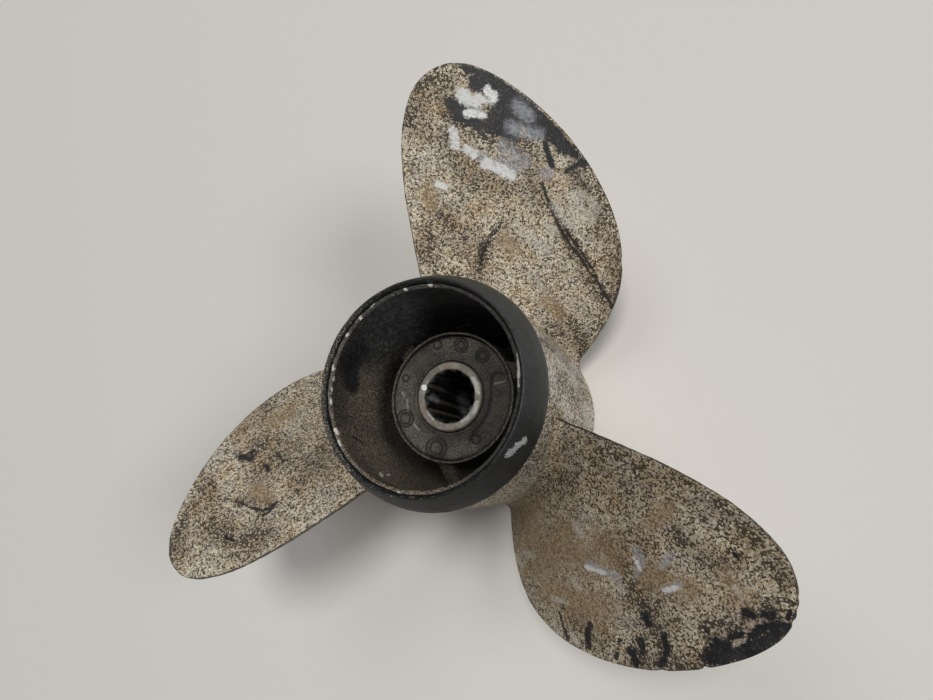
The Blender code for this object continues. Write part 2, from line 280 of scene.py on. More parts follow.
def make_grain():
    tree, wires, ending = new_tree(
        "cast_grain",
        "ShaderNodeTree",
        {"Dirt": ("Float", 0.0), "Grime": ("Float", 0.0)},
        {"Colour": ("Color", None), "Pits": ("Float", None), "Height": ("Float", None)},
    )
    place = object_place(tree)
    sand = cells(place, SAND_SCALE)
    grit = cloud(place, GRIT_SCALE, detail=2.0, roughness=0.60)
    crust = cloud(place, CRUST_SCALE, detail=4.0, roughness=0.70)
    stain = cloud(place, STAIN_SCALE, detail=4.0, roughness=0.62)
    hue = cloud(place, HUE_SCALE, detail=3.0, roughness=0.55, stretch=(1.0, 1.0, 0.6))

    warm = mix(ramp(hue, 0.40, 0.60), TAN, OCHRE)
    warm = mix(ramp(hue, 0.56, 0.68) * 0.75, warm, BROWN)
    warm = mix(ramp(hue, 0.44, 0.34) * 0.5, warm, PURPLE_GREY)
    warm = mix(ramp(stain, 0.46, 0.34) * 0.7, warm, OLIVE)
    warm = mix(ramp(crust, 0.50, 0.40) * 0.25, warm, DARK_CRUST)
    level = sand * 0.35 + grit * 0.18 + (crust - 0.5) * 0.17 - (stain - 0.5) * 0.15 + 0.235
    # The dirt input darkens the grain and browns it. It is real dirt on most pieces, and on blade
    # 2 painted shade: the darker tone of a face turned away from the light.
    level = level - wires["Dirt"] * 0.050
    colour = mix(ramp(level, 0.525, 0.635), warm, PALE_GRAIN)
    mask = ramp(level - wires["Grime"] * 0.100, 0.456, 0.385)
    colour = mix(wires["Dirt"] * 0.34, colour, DIRT_AND_SHADE_BROWN)
    colour = mix(mask * 0.92, colour, PIT_BROWN)

    feed(ending.inputs["Colour"], colour)
    feed(ending.inputs["Pits"], mask)
    feed(ending.inputs["Height"], sand * 0.4 + grit * 0.8 - mask * 0.25)
    return tree


cast_grain = make_grain()
print(f"grain group: grains about {1000 / SAND_SCALE:.1f} mm across")

# %% [markdown]
# ## Flaking paint, smears and edge grime
#
# The blades were once black. What is left of the paint lies in hard-edged islands, and dirt has
# gathered along the thin edges. There are also smears of chalk. Each of these is a soft mask on
# the mesh, strongest in the middle of a mark. A noise that is added before the threshold breaks
# its border up, so a few listed strokes turn into ragged flakes.

# %% Make the ragged mask group
FLAKE_SCALE = 420.0


def make_ragged():
    tree, wires, ending = new_tree(
        "ragged_mask",
        "ShaderNodeTree",
        {"Amount": ("Float", 0.0), "Raggedness": ("Float", 0.5), "Softness": ("Float", 0.06)},
        {"Mask": ("Float", None)},
    )
    place = object_place(tree)
    flakes = cloud(place, FLAKE_SCALE, detail=5.0, roughness=0.8)
    crumbs = cloud(place, SPECK_SCALE, detail=1.0, roughness=0.6)
    flakes = flakes * 0.80 + crumbs * 0.20
    value = wires["Amount"] + (flakes - 0.5) * 2.0 * wires["Raggedness"]
    low = 0.5 - wires["Softness"]
    high = 0.5 + wires["Softness"]
    inside = ramp(value, low, high) * ramp(wires["Amount"], 0.0, 0.08)
    feed(ending.inputs["Mask"], inside)
    return tree


ragged_mask = make_ragged()
print(f"ragged mask group: flakes about {1000 / FLAKE_SCALE:.1f} mm")

# %% [markdown]
# ## The finishes
#
# Four finishes cover the propeller, and each is its own function: the worn casting, the black
# ring, the bush's old rubber and the sleeve's steel. The casting lays its colours over the grain
# in the order in which they came: dirt and soot, then paint, then scratches, chalk and chips. On
# one blade the dirt also stands for painted shade, and inside the bore the haze is a painted
# sheen. Where each lies is a mask, a number kept on the mesh's points. A mesh that lacks a mask
# reads it as nothing, so one material serves the blades, the barrel, the tube and the webs.

# %% Name the casting's masks and colours
CASTING_MASKS = (
    "paint", "scratch", "chalk", "haze_and_sheen", "rust", "soot", "bare", "edge", "dirt", "chip",
    "powder", "grime", "fleck",
)
STREAK_SCALE = 160.0
BRUSH_SCALE = 900.0
FLECK_SCALE = 1000.0

RUST_BROWN = (0.325, 0.215, 0.105)
PAINT_FRINGE = (0.075, 0.062, 0.052)
EDGE_GRIME = (0.050, 0.047, 0.044)
SOOT_BLACK, SOOT_GREY = (0.012, 0.012, 0.014), (0.040, 0.038, 0.036)
SOOT_BROWN, SOOT_PIT = (0.105, 0.086, 0.060), (0.016, 0.014, 0.012)
SOOT_SPECK, BARE_SPECK = (0.150, 0.138, 0.115), (0.420, 0.365, 0.265)
PAINT_BLACK, PAINT_WORN = (0.020, 0.021, 0.024), (0.040, 0.038, 0.037)
SCRATCH_BLACK = (0.030, 0.028, 0.027)
HAZE_AND_SHEEN_GREY = (0.455, 0.470, 0.505)
POWDER_WHITE = (0.74, 0.70, 0.64)
CHALK_WHITE = (0.82, 0.83, 0.82)
CHIPPED_METAL = (0.66, 0.63, 0.56)
PALE_FLECK, DARK_FLECK = (0.76, 0.72, 0.64), (0.080, 0.067, 0.050)
print(f"{len(CASTING_MASKS)} masks: {', '.join(CASTING_MASKS)}")

# %% Build the worn casting


def new_finish(name):
    material = bpy.data.materials.new(name)
    material.use_nodes = True
    tree = material.node_tree
    return material, tree, tree.nodes["Principled BSDF"]


def mask_named(tree, name):
    return add_node(tree, "ShaderNodeAttribute", output="Fac", attribute_name=name)


def add_bump(tree, shader, height, distance, strength):
    inputs = {"Height": height, "Distance": distance, "Strength": strength}
    feed(shader.inputs["Normal"], add_node(tree, "ShaderNodeBump", inputs, "Normal"))


def ragged(tree, amount, raggedness, softness=0.06):
    """The ragged mask group, placed in a material's tree."""
    inputs = {"amount": amount, "raggedness": raggedness, "softness": softness}
    return place_group(tree, ragged_mask, **inputs)["Mask"]


def make_casting():
    material, tree, shader = new_finish("worn_casting")
    paint, scratch, chalk, haze_and_sheen, rust, soot, bare, edge, dirt, chip, powder, grime, fleck = (
        mask_named(tree, name) for name in CASTING_MASKS
    )
    place = object_place(tree)
    streaks = cloud(place, STREAK_SCALE, detail=3.0, roughness=0.6, stretch=(1.0, 1.0, 0.12))
    speck = ramp(cloud(place, SPECK_SCALE, detail=1.0, roughness=0.6), 0.50, 0.62)
    brushed = ramp(cloud(place, BRUSH_SCALE, roughness=0.6, stretch=(0.25, 1.0, 1.0)), 0.30, 0.62)
    worn_through = ramp(cloud(place, GRIT_SCALE, roughness=0.7), 0.56, 0.62)
    flecks = cloud(place, FLECK_SCALE, roughness=0.65, stretch=(1.0, 1.0, 0.60))

    # The dirt mask is real dirt, and on blade 2 also painted shade.
    dirty, grimed = ragged(tree, dirt, 0.60, 0.45), ragged(tree, grime, 1.10, 0.20)
    grain = place_group(tree, cast_grain, dirt=dirty, grime=grimed)
    rusty = ragged(tree, rust, 0.90, 0.45)
    colour = mix(rusty * (0.72 - speck * 0.40), grain["Colour"], RUST_BROWN)
    colour = mix(ragged(tree, paint * 1.4, 1.80, 0.20) * 0.60, colour, PAINT_FRINGE)
    colour = mix(ragged(tree, edge, 1.10, 0.12) * 0.78, colour, EDGE_GRIME)

    black_soot = mix(speck * 0.6, mix(streaks, SOOT_BLACK, SOOT_GREY), SOOT_SPECK)
    brown_soot = mix(speck * 0.75, mix(grain["Pits"], SOOT_BROWN, SOOT_PIT), BARE_SPECK)
    colour = mix(soot, colour, mix(ragged(tree, bare, 0.35, 0.45), black_soot, brown_soot))

    painted = ragged(tree, paint * 1.10, 1.25)
    black_paint = mix(ramp(streaks, 0.4, 0.7), PAINT_BLACK, PAINT_WORN)
    colour = mix(painted * (1.0 - worn_through * 0.22), colour, black_paint)
    scratched = ragged(tree, scratch * 1.20, 1.60, 0.10)
    colour = mix(scratched * 0.92, colour, SCRATCH_BLACK)

    # The haze mask lays a pale grey film: real salt haze on the blades, and a painted sheen inside
    # the barrel's bore.
    haze_and_sheen_mask = ragged(tree, haze_and_sheen, 1.10, 0.40) * (0.30 + brushed * 0.35)
    colour = mix(haze_and_sheen_mask, colour, HAZE_AND_SHEEN_GREY)
    powdery = ragged(tree, powder * 1.3, 1.10, 0.30) * (0.22 + speck * 0.65)
    colour = mix(powdery, colour, POWDER_WHITE)
    chalked = ragged(tree, chalk, 1.20, 0.16)
    colour = mix(chalked * (0.60 + brushed * 0.38), colour, CHALK_WHITE)
    colour = mix(ragged(tree, chip, 1.25, 0.10) * 0.9, colour, CHIPPED_METAL)
    colour = mix(ramp(flecks, 0.52, 0.59) * fleck * 0.80, colour, PALE_FLECK)
    colour = mix(ramp(flecks, 0.47, 0.41) * fleck * 0.92, colour, DARK_FLECK)
    feed(shader.inputs["Base Color"], colour)

    dull = 0.78 - painted * 0.22 - soot * 0.16 - chalked * 0.05 + (streaks - 0.5) * 0.14
    feed(shader.inputs["Roughness"], dull.clamp())
    shader.inputs["Metallic"].default_value = 0.12
    shader.inputs["Specular IOR Level"].default_value = 0.35
    rough_skin = grain["Height"] * (1.0 - painted * 0.6 - soot * 0.5)
    height = rough_skin + painted * 0.35 - scratched * 0.8 + chalked * 0.10
    add_bump(tree, shader, height, distance=0.00028, strength=1.0)
    return material


worn_casting = make_casting()
print("finish:", worn_casting.name)

# %% [markdown]
# ## Black ring, rubber and steel
#
# The ring keeps most of its half-gloss black, with a bluish bloom, fine scuffs and a rim that is
# worn down to the metal. Its top side is painted lighter, a painted sheen where the lamps leave it
# dim, and another side is darker with grease. The rubber is grey-brown with dust. The sleeve's end
# is dull turned steel with rubbed bright spots and a little rust, and its bore is dark with old
# grease, with a pale painted reflection deep inside.

# %% Build the ring's finish
BLOOM_SCALE = 60.0
SCUFF_SCALE = 420.0
MOTTLE_SCALE = 260.0
RING_BLACK, RING_BLOOM = (0.004, 0.005, 0.005), (0.016, 0.020, 0.023)
RING_SHEEN, RING_SPECK = (0.046, 0.048, 0.048), (0.070, 0.070, 0.064)
RING_SCUFF, RING_CHALK = (0.15, 0.15, 0.14), (0.78, 0.79, 0.80)
WORN_DARK, WORN_METAL = (0.018, 0.017, 0.014), (0.300, 0.270, 0.205)
RING_GREASE = (0.005, 0.005, 0.005)


def make_ring_finish():
    material, tree, shader = new_finish("scuffed_black")
    worn, chalk, dirt, haze_and_sheen = (mask_named(tree, n) for n in ("worn", "chalk", "dirt", "haze_and_sheen"))
    place = object_place(tree)
    bloom = cloud(place, BLOOM_SCALE, detail=4.0, roughness=0.6)
    fine = cloud(place, SPECK_SCALE, detail=1.0, roughness=0.7)
    scuffs = cloud(place, SCUFF_SCALE, detail=3.0, roughness=0.6, stretch=(1.0, 1.0, 0.25))
    mottle = bloom * 0.7 + cloud(place, MOTTLE_SCALE, detail=3.0, roughness=0.6) * 0.3
    patches = ramp(mottle, 0.40, 0.60)
    colour = mix(patches, RING_BLACK, RING_BLOOM)
    # A pale painted sheen on the ring's top side, where the lamps leave it dim.
    colour = mix(haze_and_sheen * (0.35 + patches * 0.45), colour, RING_SHEEN)
    colour = mix(ramp(fine, 0.48, 0.62) * 0.36, colour, RING_SPECK)
    colour = mix(ramp(scuffs, 0.66, 0.74) * 0.30, colour, RING_SCUFF)
    rubbed = ragged(tree, worn, 1.30, 0.12)
    colour = mix(rubbed, colour, mix(ramp(fine, 0.48, 0.66), WORN_DARK, WORN_METAL))
    marked = ragged(tree, chalk, 1.40, 0.16)
    colour = mix(marked * (0.40 + ramp(fine, 0.40, 0.55) * 0.5), colour, RING_CHALK)
    colour = mix(dirt * 0.60, colour, RING_GREASE)
    feed(shader.inputs["Base Color"], colour)
    shader.inputs["Specular IOR Level"].default_value = 0.40
    dull = 0.36 + bloom * 0.18 + rubbed * 0.22 + marked * 0.25 + dirt * 0.16
    feed(shader.inputs["Roughness"], dull.clamp())
    height = bloom * 0.5 + fine * 0.25 - rubbed * 0.35
    add_bump(tree, shader, height, distance=0.00018, strength=0.8)
    return material


scuffed_black = make_ring_finish()
print("finish:", scuffed_black.name)

# %% Build the rubber's finish
CLOUDY_SCALE = 130.0
RUBBER_DARK, RUBBER_PALE = (0.014, 0.014, 0.011), (0.048, 0.042, 0.035)
RUBBER_SPECK, RUBBER_BROWN = (0.155, 0.140, 0.112), (0.092, 0.060, 0.044)
RUBBER_DUST, RUBBER_SHADE_AND_DIRT = (0.175, 0.162, 0.130), (0.006, 0.006, 0.006)
RUBBER_CHALK = (0.50, 0.48, 0.43)


def make_rubber():
    material, tree, shader = new_finish("old_rubber")
    dust, chalk, dirt = (mask_named(tree, name) for name in ("dust", "chalk", "dirt"))
    place = object_place(tree)
    cloudy = cloud(place, CLOUDY_SCALE, detail=4.0, roughness=0.65)
    fine = cloud(place, SPECK_SCALE, detail=1.0, roughness=0.7)
    colour = mix(ramp(cloudy, 0.35, 0.65), RUBBER_DARK, RUBBER_PALE)
    colour = mix(ramp(fine, 0.46, 0.62) * 0.42, colour, RUBBER_SPECK)
    colour = mix(ramp(cloudy, 0.56, 0.68) * 0.5, colour, RUBBER_BROWN)
    powder = ragged(tree, dust, 0.5, 0.4)
    colour = mix(powder * (0.10 + ramp(fine, 0.44, 0.58) * 0.50), colour, RUBBER_DUST)
    # The dirt mask darkens the rubber almost to black: painted shade on and round the moulded
    # marks, and one dark line near the face's edge.
    colour = mix(dirt * 0.90, colour, RUBBER_SHADE_AND_DIRT)
    colour = mix(ragged(tree, chalk, 0.35, 0.2) * 0.30, colour, RUBBER_CHALK)
    feed(shader.inputs["Base Color"], colour)
    feed(shader.inputs["Roughness"], (0.62 + fine * 0.25).clamp())
    shader.inputs["Specular IOR Level"].default_value = 0.35
    add_bump(tree, shader, fine * 0.6 + cloudy * 0.4, distance=0.00014, strength=0.8)
    return material


old_rubber = make_rubber()
print("finish:", old_rubber.name)

# %% Build the steel's finish
TARNISH_SCALE = 260.0
FINE_SCALE = 1900.0
STEEL_DARK, STEEL_PALE = (0.17, 0.155, 0.125), (0.33, 0.31, 0.26)
STEEL_PIT, STEEL_BRIGHT = (0.09, 0.075, 0.06), (0.62, 0.60, 0.55)
STEEL_RUST, STEEL_REFLECTION = (0.200, 0.098, 0.066), (0.420, 0.430, 0.455)
BORE_BLACK, BORE_GREY = (0.007, 0.007, 0.006), (0.024, 0.024, 0.024)
STEEL_CHALK = (0.82, 0.82, 0.80)


def make_steel():
    material, tree, shader = new_finish("dull_steel")
    grease, rust, chalk, bright, haze_and_sheen = (
        mask_named(tree, name) for name in ("grease", "rust", "chalk", "bright", "haze_and_sheen")
    )
    place = object_place(tree)
    tarnish = cloud(place, TARNISH_SCALE, detail=4.0, roughness=0.65)
    fine = cloud(place, FINE_SCALE, roughness=0.6)
    colour = mix(ramp(tarnish, 0.34, 0.66), STEEL_DARK, STEEL_PALE)
    colour = mix(ramp(fine, 0.42, 0.30) * 0.6, colour, STEEL_PIT)
    rubbed = ragged(tree, bright, 1.5, 0.15)
    colour = mix(rubbed * 0.7, colour, STEEL_BRIGHT)
    rusty = ragged(tree, rust, 1.1, 0.25)
    colour = mix(rusty * (0.25 + ramp(fine, 0.55, 0.42) * 0.40), colour, STEEL_RUST)
    colour = mix(grease, colour, mix(ramp(tarnish, 0.4, 0.7), BORE_BLACK, BORE_GREY))
    # A pale painted reflection deep in the bore.
    colour = mix(ragged(tree, haze_and_sheen, 0.9, 0.35) * 0.9, colour, STEEL_REFLECTION)
    marked = ragged(tree, chalk, 0.15, 0.1)
    colour = mix(marked, colour, STEEL_CHALK)
    feed(shader.inputs["Base Color"], colour)
    feed(shader.inputs["Metallic"], (0.55 - grease * 0.35 - marked * 0.55 - rusty * 0.4).clamp())
    feed(shader.inputs["Roughness"], (0.50 + fine * 0.2 - rubbed * 0.15 - grease * 0.1).clamp())
    add_bump(tree, shader, fine * 0.5 + tarnish * 0.5, distance=0.00010, strength=0.8)
    return material


dull_steel = make_steel()
print("finish:", dull_steel.name)

# %% [markdown]
# ## The blades
#
# A propeller blade is a screw surface: its height grows with the angle round the shaft. Here it
# is also raked aft along its span and cambered along its chord. Modelling that by hand in sculpt
# mode would never give three equal blades, and a formula gives them at once, so the blade is a
# Geometry Nodes tree. It bends a flat grid into a closed shell: one direction of the grid runs
# round the section, over the aft face and back under the forward face, and the other runs from
# the root to the tip. Two Float Curve nodes hold the outline, as a draughtsman would draw it.
# Rows near the root swell into the fillet that flows onto the barrel.

# %% Name the blade's sizes
TIP_RADIUS = 0.1386
HUB_RADIUS = 0.0448
HUB_FORWARD_RADIUS = 0.0426
HUB_TAPER_LENGTH = 0.1013
COLLAR_RADIUS = 0.0414
COLLAR_LENGTH = 0.0130

# Radius, leading edge angle and trailing edge angle in degrees, from the tip to the root
BLADE_OUTLINE = (
    (TIP_RADIUS, 11.4, 11.4),
    (0.1350, 4.9, 16.7),
    (0.1290, -1.2, 19.6),
    (0.1200, -9.5, 21.9),
    (0.1100, -17.9, 23.7),
    (0.0980, -26.7, 25.2),
    (0.0850, -33.6, 26.6),
    (0.0700, -38.2, 28.0),
    (0.0430, -43.0, 31.4),
)
OUTLINE_REACH = math.sqrt(TIP_RADIUS - BLADE_OUTLINE[-1][0])
OUTLINE_SWING = 60.0

BLADE_SIZES = {
    "Middle height": 0.0627,
    "Pitch rise": 0.0520,
    "Pitch gain": 0.076,
    "Rake": 0.351,
    "Rake ease": -0.585,
    "Camber": -0.0190,
    "Curl": -0.0027,
    "Root thickness": 0.0100,
    "Tip thickness": 0.0032,
    "Edge thickness": 0.0016,
    "Root fillet": 0.0050,
    "Edge wobble": 0.00035,
    "Lumps": 0.00012,
}
SECTION_STEPS = 170
FILLET_ROWS = 12
SPAN_ROWS = 150
CHORD_CROWDING = 0.60
ROOT_SINK = 0.0015
FOOT_SINK = 0.00005
TIP_ROUNDING = 0.006
WOBBLE_SCALE, LUMP_SCALE, GRIME_SCALE = 260.0, 110.0, 120.0
CASTING_GAP = 0.0003
COLLAR_STEP = 0.0012
MERGE_DISTANCE = 0.000004
LEADING_GRIME = 0.0026
TRAILING_GRIME = 0.0007
print(f"blade tips on a circle of {2 * TIP_RADIUS * 1000:.0f} mm")

# %% Helpers for the blade's node tree


def new_shape_tree(name, numbers):
    """An empty Geometry Nodes tree that takes a mesh, a finish and some named numbers."""
    shape = {"Geometry": ("Geometry", None)}
    inputs = {label: ("Float", value) for label, value in numbers.items()}
    inputs = {**shape, "Finish": ("Material", None), **inputs}
    return new_tree(name, "GeometryNodeTree", inputs, shape)


def finish_shape(shape, wires, ending):
    """Smooth the shape, make it real, give it its finish and send it out of the tree."""
    for kind in ("GeometryNodeSetShadeSmooth", "GeometryNodeRealizeInstances"):
        shape = add_node(shape.tree, kind, {"Geometry": shape})
    inputs = {"Geometry": shape, "Material": wires["Finish"]}
    feed(ending.inputs["Geometry"], add_node(shape.tree, "GeometryNodeSetMaterial", inputs))


def outline_curve(reach, side):
    """The blade's edge angle in radians, read from a Float Curve that holds the outline."""
    node = reach.tree.nodes.new("ShaderNodeFloatCurve")
    node.label = ("leading edge", "trailing edge")[side]
    curve = node.mapping.curves[0]
    spots = sorted(
        (math.sqrt(TIP_RADIUS - row[0]) / OUTLINE_REACH, row[1 + side] / OUTLINE_SWING / 2 + 0.5)
        for row in BLADE_OUTLINE
    )
    curve.points[0].location, curve.points[1].location = spots[0], spots[-1]
    for spot in spots[1:-1]:
        curve.points.new(*spot)
    node.mapping.update()
    feed(node.inputs["Value"], reach / OUTLINE_REACH)
    return (Wire(node.outputs[0]) - 0.5) * math.radians(2 * OUTLINE_SWING)


def blade_rows(grid_y, wires):
    """Radius, fillet growth, pinch and sink of each row, from the closed root to the tip."""
    row = (grid_y + 0.5) * float(2 + FILLET_ROWS + SPAN_ROWS)
    fillet = wires["Root fillet"]
    rise = fillet * ((row - 2.0) / FILLET_ROWS).clamp() ** 2.0
    growth = fillet - (fillet * fillet - (fillet - rise) * (fillet - rise)).root()
    outward = ((row - (2.0 + FILLET_ROWS)) / SPAN_ROWS).clamp()
    span = (TIP_RADIUS - HUB_RADIUS) - fillet
    radius = HUB_RADIUS + rise + span * (1.0 - (1.0 - outward) ** 2.0)
    sink = FOOT_SINK + (2.0 - row).clamp() * ROOT_SINK
    return radius, growth, row.clamp(), sink


print("blade helpers ready")

# %% Build the blade's node tree


def make_blade_tree():
    numbers = {**BLADE_SIZES, "Blade angle": 0.0, "Seed": 0.0}
    tree, wires, ending = new_shape_tree("propeller_blade", numbers)
    steps = {"Vertices X": 2 * SECTION_STEPS + 1, "Vertices Y": 3 + FILLET_ROWS + SPAN_ROWS}
    grid = add_node(tree, "GeometryNodeMeshGrid", steps, "Mesh")
    across, along, _ = split(add_node(tree, "GeometryNodeInputPosition"))

    radius, growth, pinch, sink = blade_rows(along, wires)
    underside = across.math("GREATER_THAN", 0.00001)
    walk = 1.0 - (across * 2.0).math("ABSOLUTE")
    chord = walk - (walk * math.tau).math("SINE") * (CHORD_CROWDING / math.tau)

    reach = (TIP_RADIUS - radius).root()
    edge_place = combine(tree, radius, wires["Seed"], chord.math("ROUND"))
    wobble = cloud(edge_place, WOBBLE_SCALE, detail=3.0, roughness=0.6)
    wobble = wobble * wires["Edge wobble"] * 2.0 / radius
    lead = outline_curve(reach, 0) + wobble
    trail = outline_curve(reach, 1) - wobble
    out = radius - HUB_RADIUS
    pitch = wires["Pitch rise"] + wires["Pitch gain"] * out

    def slope_at(turn):
        climb = pitch + wires["Camber"] * turn * 2.0 + wires["Curl"] * turn * turn * 3.0
        return climb.math("ARCTAN2", radius)

    middle_slope = slope_at((lead + trail) * 0.5)
    spread = growth * middle_slope.math("COSINE") / radius
    lead, trail = lead - spread, trail + spread
    turn = lead + (trail - lead) * chord
    slope = slope_at(turn)

    chord_length = (trail - lead) * radius / middle_slope.math("COSINE")
    room = chord.math("MINIMUM", 1.0 - chord) * chord_length
    room = room.math("MINIMUM", TIP_RADIUS - radius)
    half = wires["Edge thickness"] * 0.5 + growth
    fullness = (1.0 - (1.0 - (room / half).clamp()) ** 2.0).root()
    share = out.math("MAXIMUM", 0.0) / (TIP_RADIUS - HUB_RADIUS)
    root_thickness = wires["Root thickness"]
    thickest = root_thickness + (wires["Tip thickness"] - root_thickness) * share**0.8
    belly = (chord * (1.0 - chord) * 4.0).math("MAXIMUM", 0.0) ** 0.7
    belly = belly * ((TIP_RADIUS - radius) / TIP_ROUNDING).clamp().root()
    extra = (thickest - wires["Edge thickness"]) * belly

    side = underside * 2.0 - 1.0
    middle = (wires["Edge thickness"] + extra) * 0.5
    depth = middle + side * (half * fullness + extra * 0.5) * pinch
    lumps = cloud(combine(tree, radius, turn * radius, wires["Seed"] + side), LUMP_SCALE)
    depth = depth + (lumps - 0.5) * wires["Lumps"] * 2.0 * fullness * pinch

    height = wires["Middle height"] + wires["Rake"] * out + wires["Rake ease"] * out * out
    height = height + pitch * turn + wires["Camber"] * turn * turn + wires["Curl"] * turn**3.0
    height = height - depth * slope.math("COSINE")
    angle = turn + depth * slope.math("SINE") / radius + wires["Blade angle"]

    hub = HUB_FORWARD_RADIUS + height * ((HUB_RADIUS - HUB_FORWARD_RADIUS) / HUB_TAPER_LENGTH)
    drop = HUB_FORWARD_RADIUS + CASTING_GAP - COLLAR_RADIUS
    hub = hub - ramp(height, COLLAR_LENGTH, COLLAR_LENGTH - COLLAR_STEP) * drop
    inward = (TIP_RADIUS - radius) / (TIP_RADIUS - HUB_RADIUS)
    seat = TIP_RADIUS - (TIP_RADIUS - hub + sink) * inward
    x = seat * angle.math("COSINE")
    y = seat * angle.math("SINE")

    leading = ramp(chord, 0.62, 0.38).math("MAXIMUM", share**12.0)
    patchy = cloud(combine(tree, radius, turn * radius, wires["Seed"]), GRIME_SCALE)
    grime = TRAILING_GRIME + (LEADING_GRIME - TRAILING_GRIME) * leading
    grime = grime * (patchy * 3.0 - 0.6).math("MAXIMUM", 0.25)
    near_edge = (1.0 - room / grime).clamp() * (1.0 - growth / wires["Root fillet"]).clamp()
    inputs = {"Geometry": grid, "Name": "edge", "Value": near_edge}
    shape = add_node(tree, "GeometryNodeStoreNamedAttribute", inputs, data_type="FLOAT")
    inputs = {"Geometry": shape, "Position": combine(tree, x, y, height + FLOOR)}
    shape = add_node(tree, "GeometryNodeSetPosition", inputs)
    inputs = {"Geometry": shape, "Distance": MERGE_DISTANCE}
    finish_shape(add_node(tree, "GeometryNodeMergeByDistance", inputs), wires, ending)
    return tree


blade_tree = make_blade_tree()
print(f"blade tree: {len(blade_tree.nodes)} nodes")

# %% Make the three blades from the tree


def from_tree(name, tree, settings, start=None):
    """Run a Geometry Nodes tree once and keep its result as a plain mesh."""
    holder = new_object(name, start or bpy.data.meshes.new(name))
    modifier = holder.modifiers.new(tree.name, "NODES")
    modifier.node_group = tree
    items = tree.interface.items_tree
    sockets = {item.name: item.identifier for item in items if item.in_out == "INPUT"}
    for label, value in settings.items():
        modifier[sockets[label]] = value
    graph = bpy.context.evaluated_depsgraph_get()
    mesh = bpy.data.meshes.new_from_object(holder.evaluated_get(graph))
    holder.modifiers.clear()
    holder.data = mesh
    mesh.name = name
    return holder


def face_outward(piece):
    """Turn every face so that it looks out of the closed piece."""
    shape = bmesh.new()
    shape.from_mesh(piece.data)
    bmesh.ops.recalc_face_normals(shape, faces=shape.faces)
    shape.to_mesh(piece.data)
    shape.free()
    return piece


SEED_STEP = 7.3
blades = {}
for number in (1, 2, 3):
    name = f"cast_blade_{number}"
    turn = math.radians(90.0 - (number - 1) * 120.0)
    settings = {"Finish": worn_casting, "Blade angle": turn, "Seed": number * SEED_STEP}
    blade = face_outward(from_tree(name, blade_tree, settings))
    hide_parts(f"blade_{number}")
    blades[number] = blade
    print(f"{name}: {len(blade.data.polygons)} faces")

# %% [markdown]
# ## Turned pieces
#
# The barrel, the inner tube, the ring, the bush and the sleeve were all turned or cast round one
# axis, so each is a profile swept round the shaft. A Screw modifier could do it. Here the points
# are made directly, because the sleeve's teeth, the dented lip and the wear masks all depend on
# the angle. The profile lists only the corners: one helper rounds them off, as a real edge always
# is, and another adds points along the straight runs.

# %% Helpers for turned pieces


def soften(profile, corner, steps=3):
    """Round the corners of a closed profile of (radius, height) points."""
    soft = []
    for i, spot in enumerate(profile):
        here = Vector(spot)
        back = Vector(profile[i - 1]) - here
        ahead = Vector(profile[(i + 1) % len(profile)]) - here
        start = here + back * min(corner / back.length, 0.45)
        end = here + ahead * min(corner / ahead.length, 0.45)
        for k in range(steps + 1):
            t = k / steps
            soft.append(start * (1 - t) ** 2 + here * 2 * t * (1 - t) + end * t**2)
    return soft


def fill_in(profile, spacing, fine=None, fine_above=math.inf):
    """Add points to a closed profile, closer together above a height, so that no run is long."""
    full = []
    for i, here in enumerate(profile):
        ahead = profile[(i + 1) % len(profile)]
        step = fine if min(here.y, ahead.y) > fine_above else spacing
        pieces = max(1, math.ceil((ahead - here).length / step))
        full += [here.lerp(ahead, k / pieces) for k in range(pieces)]
    return full


def turned(name, profile, steps, finish, reshape=None):
    """Sweep a closed profile round the shaft. Returns the piece and where its points lie."""
    angles = np.tile(np.linspace(0.0, math.tau, steps, endpoint=False), len(profile))
    radius = np.repeat([spot[0] for spot in profile], steps)
    height = np.repeat([spot[1] for spot in profile], steps)
    if reshape:
        radius, height = reshape(radius, height, angles)
    points = np.stack([radius * np.cos(angles), radius * np.sin(angles), height + FLOOR], 1)
    rows = len(profile)
    ring = [(k, (k + 1) % steps) for k in range(steps)]
    faces = [
        (i * steps + a, i * steps + b, (i + 1) % rows * steps + b, (i + 1) % rows * steps + a)
        for i in range(rows)
        for a, b in ring
    ]
    mesh = bpy.data.meshes.new(name)
    mesh.from_pydata(points.tolist(), [], faces)
    mesh.shade_smooth()
    mesh.materials.append(finish)
    return face_outward(new_object(name, mesh)), radius, height, angles


def set_mask(piece, name, values):
    """Keep one number for each point of the piece's mesh, for its material to read."""
    mesh = piece.data
    mask = mesh.attributes.get(name) or mesh.attributes.new(name, "FLOAT", "POINT")
    mask.data.foreach_set("value", np.asarray(values, np.float32))


def lumpy(radius, height, angles, size, amount):
    """A random offset for each point, for surfaces that were cast and knocked about."""
    spots = zip(radius * np.cos(angles), radius * np.sin(angles), height)
    return np.array([noise.noise(Vector(spot) / size) for spot in spots]) * amount


def fade(values, start, end):
    """0 at the start and 1 at the end, with a straight run between. The end may be lower."""
    return np.clip((values - start) / (end - start), 0, 1)


def share_toward(side, angles):
    """1 on one side of the shaft, falling to 0 on the opposite side."""
    return 0.5 + 0.5 * np.cos(angles - side)


print("turning helpers ready")

# %% [markdown]
# ## The barrel
#
# The barrel tapers a little towards the engine and ends there in a short collar. Its aft end is
# turned down to a thin neck and lip, on which the ring sits. The outside shares the blades'
# grain, and the bore is black with exhaust soot, with a pale painted sheen on its top side. The
# lip is dented and chipped, so its points are pushed about by noise.

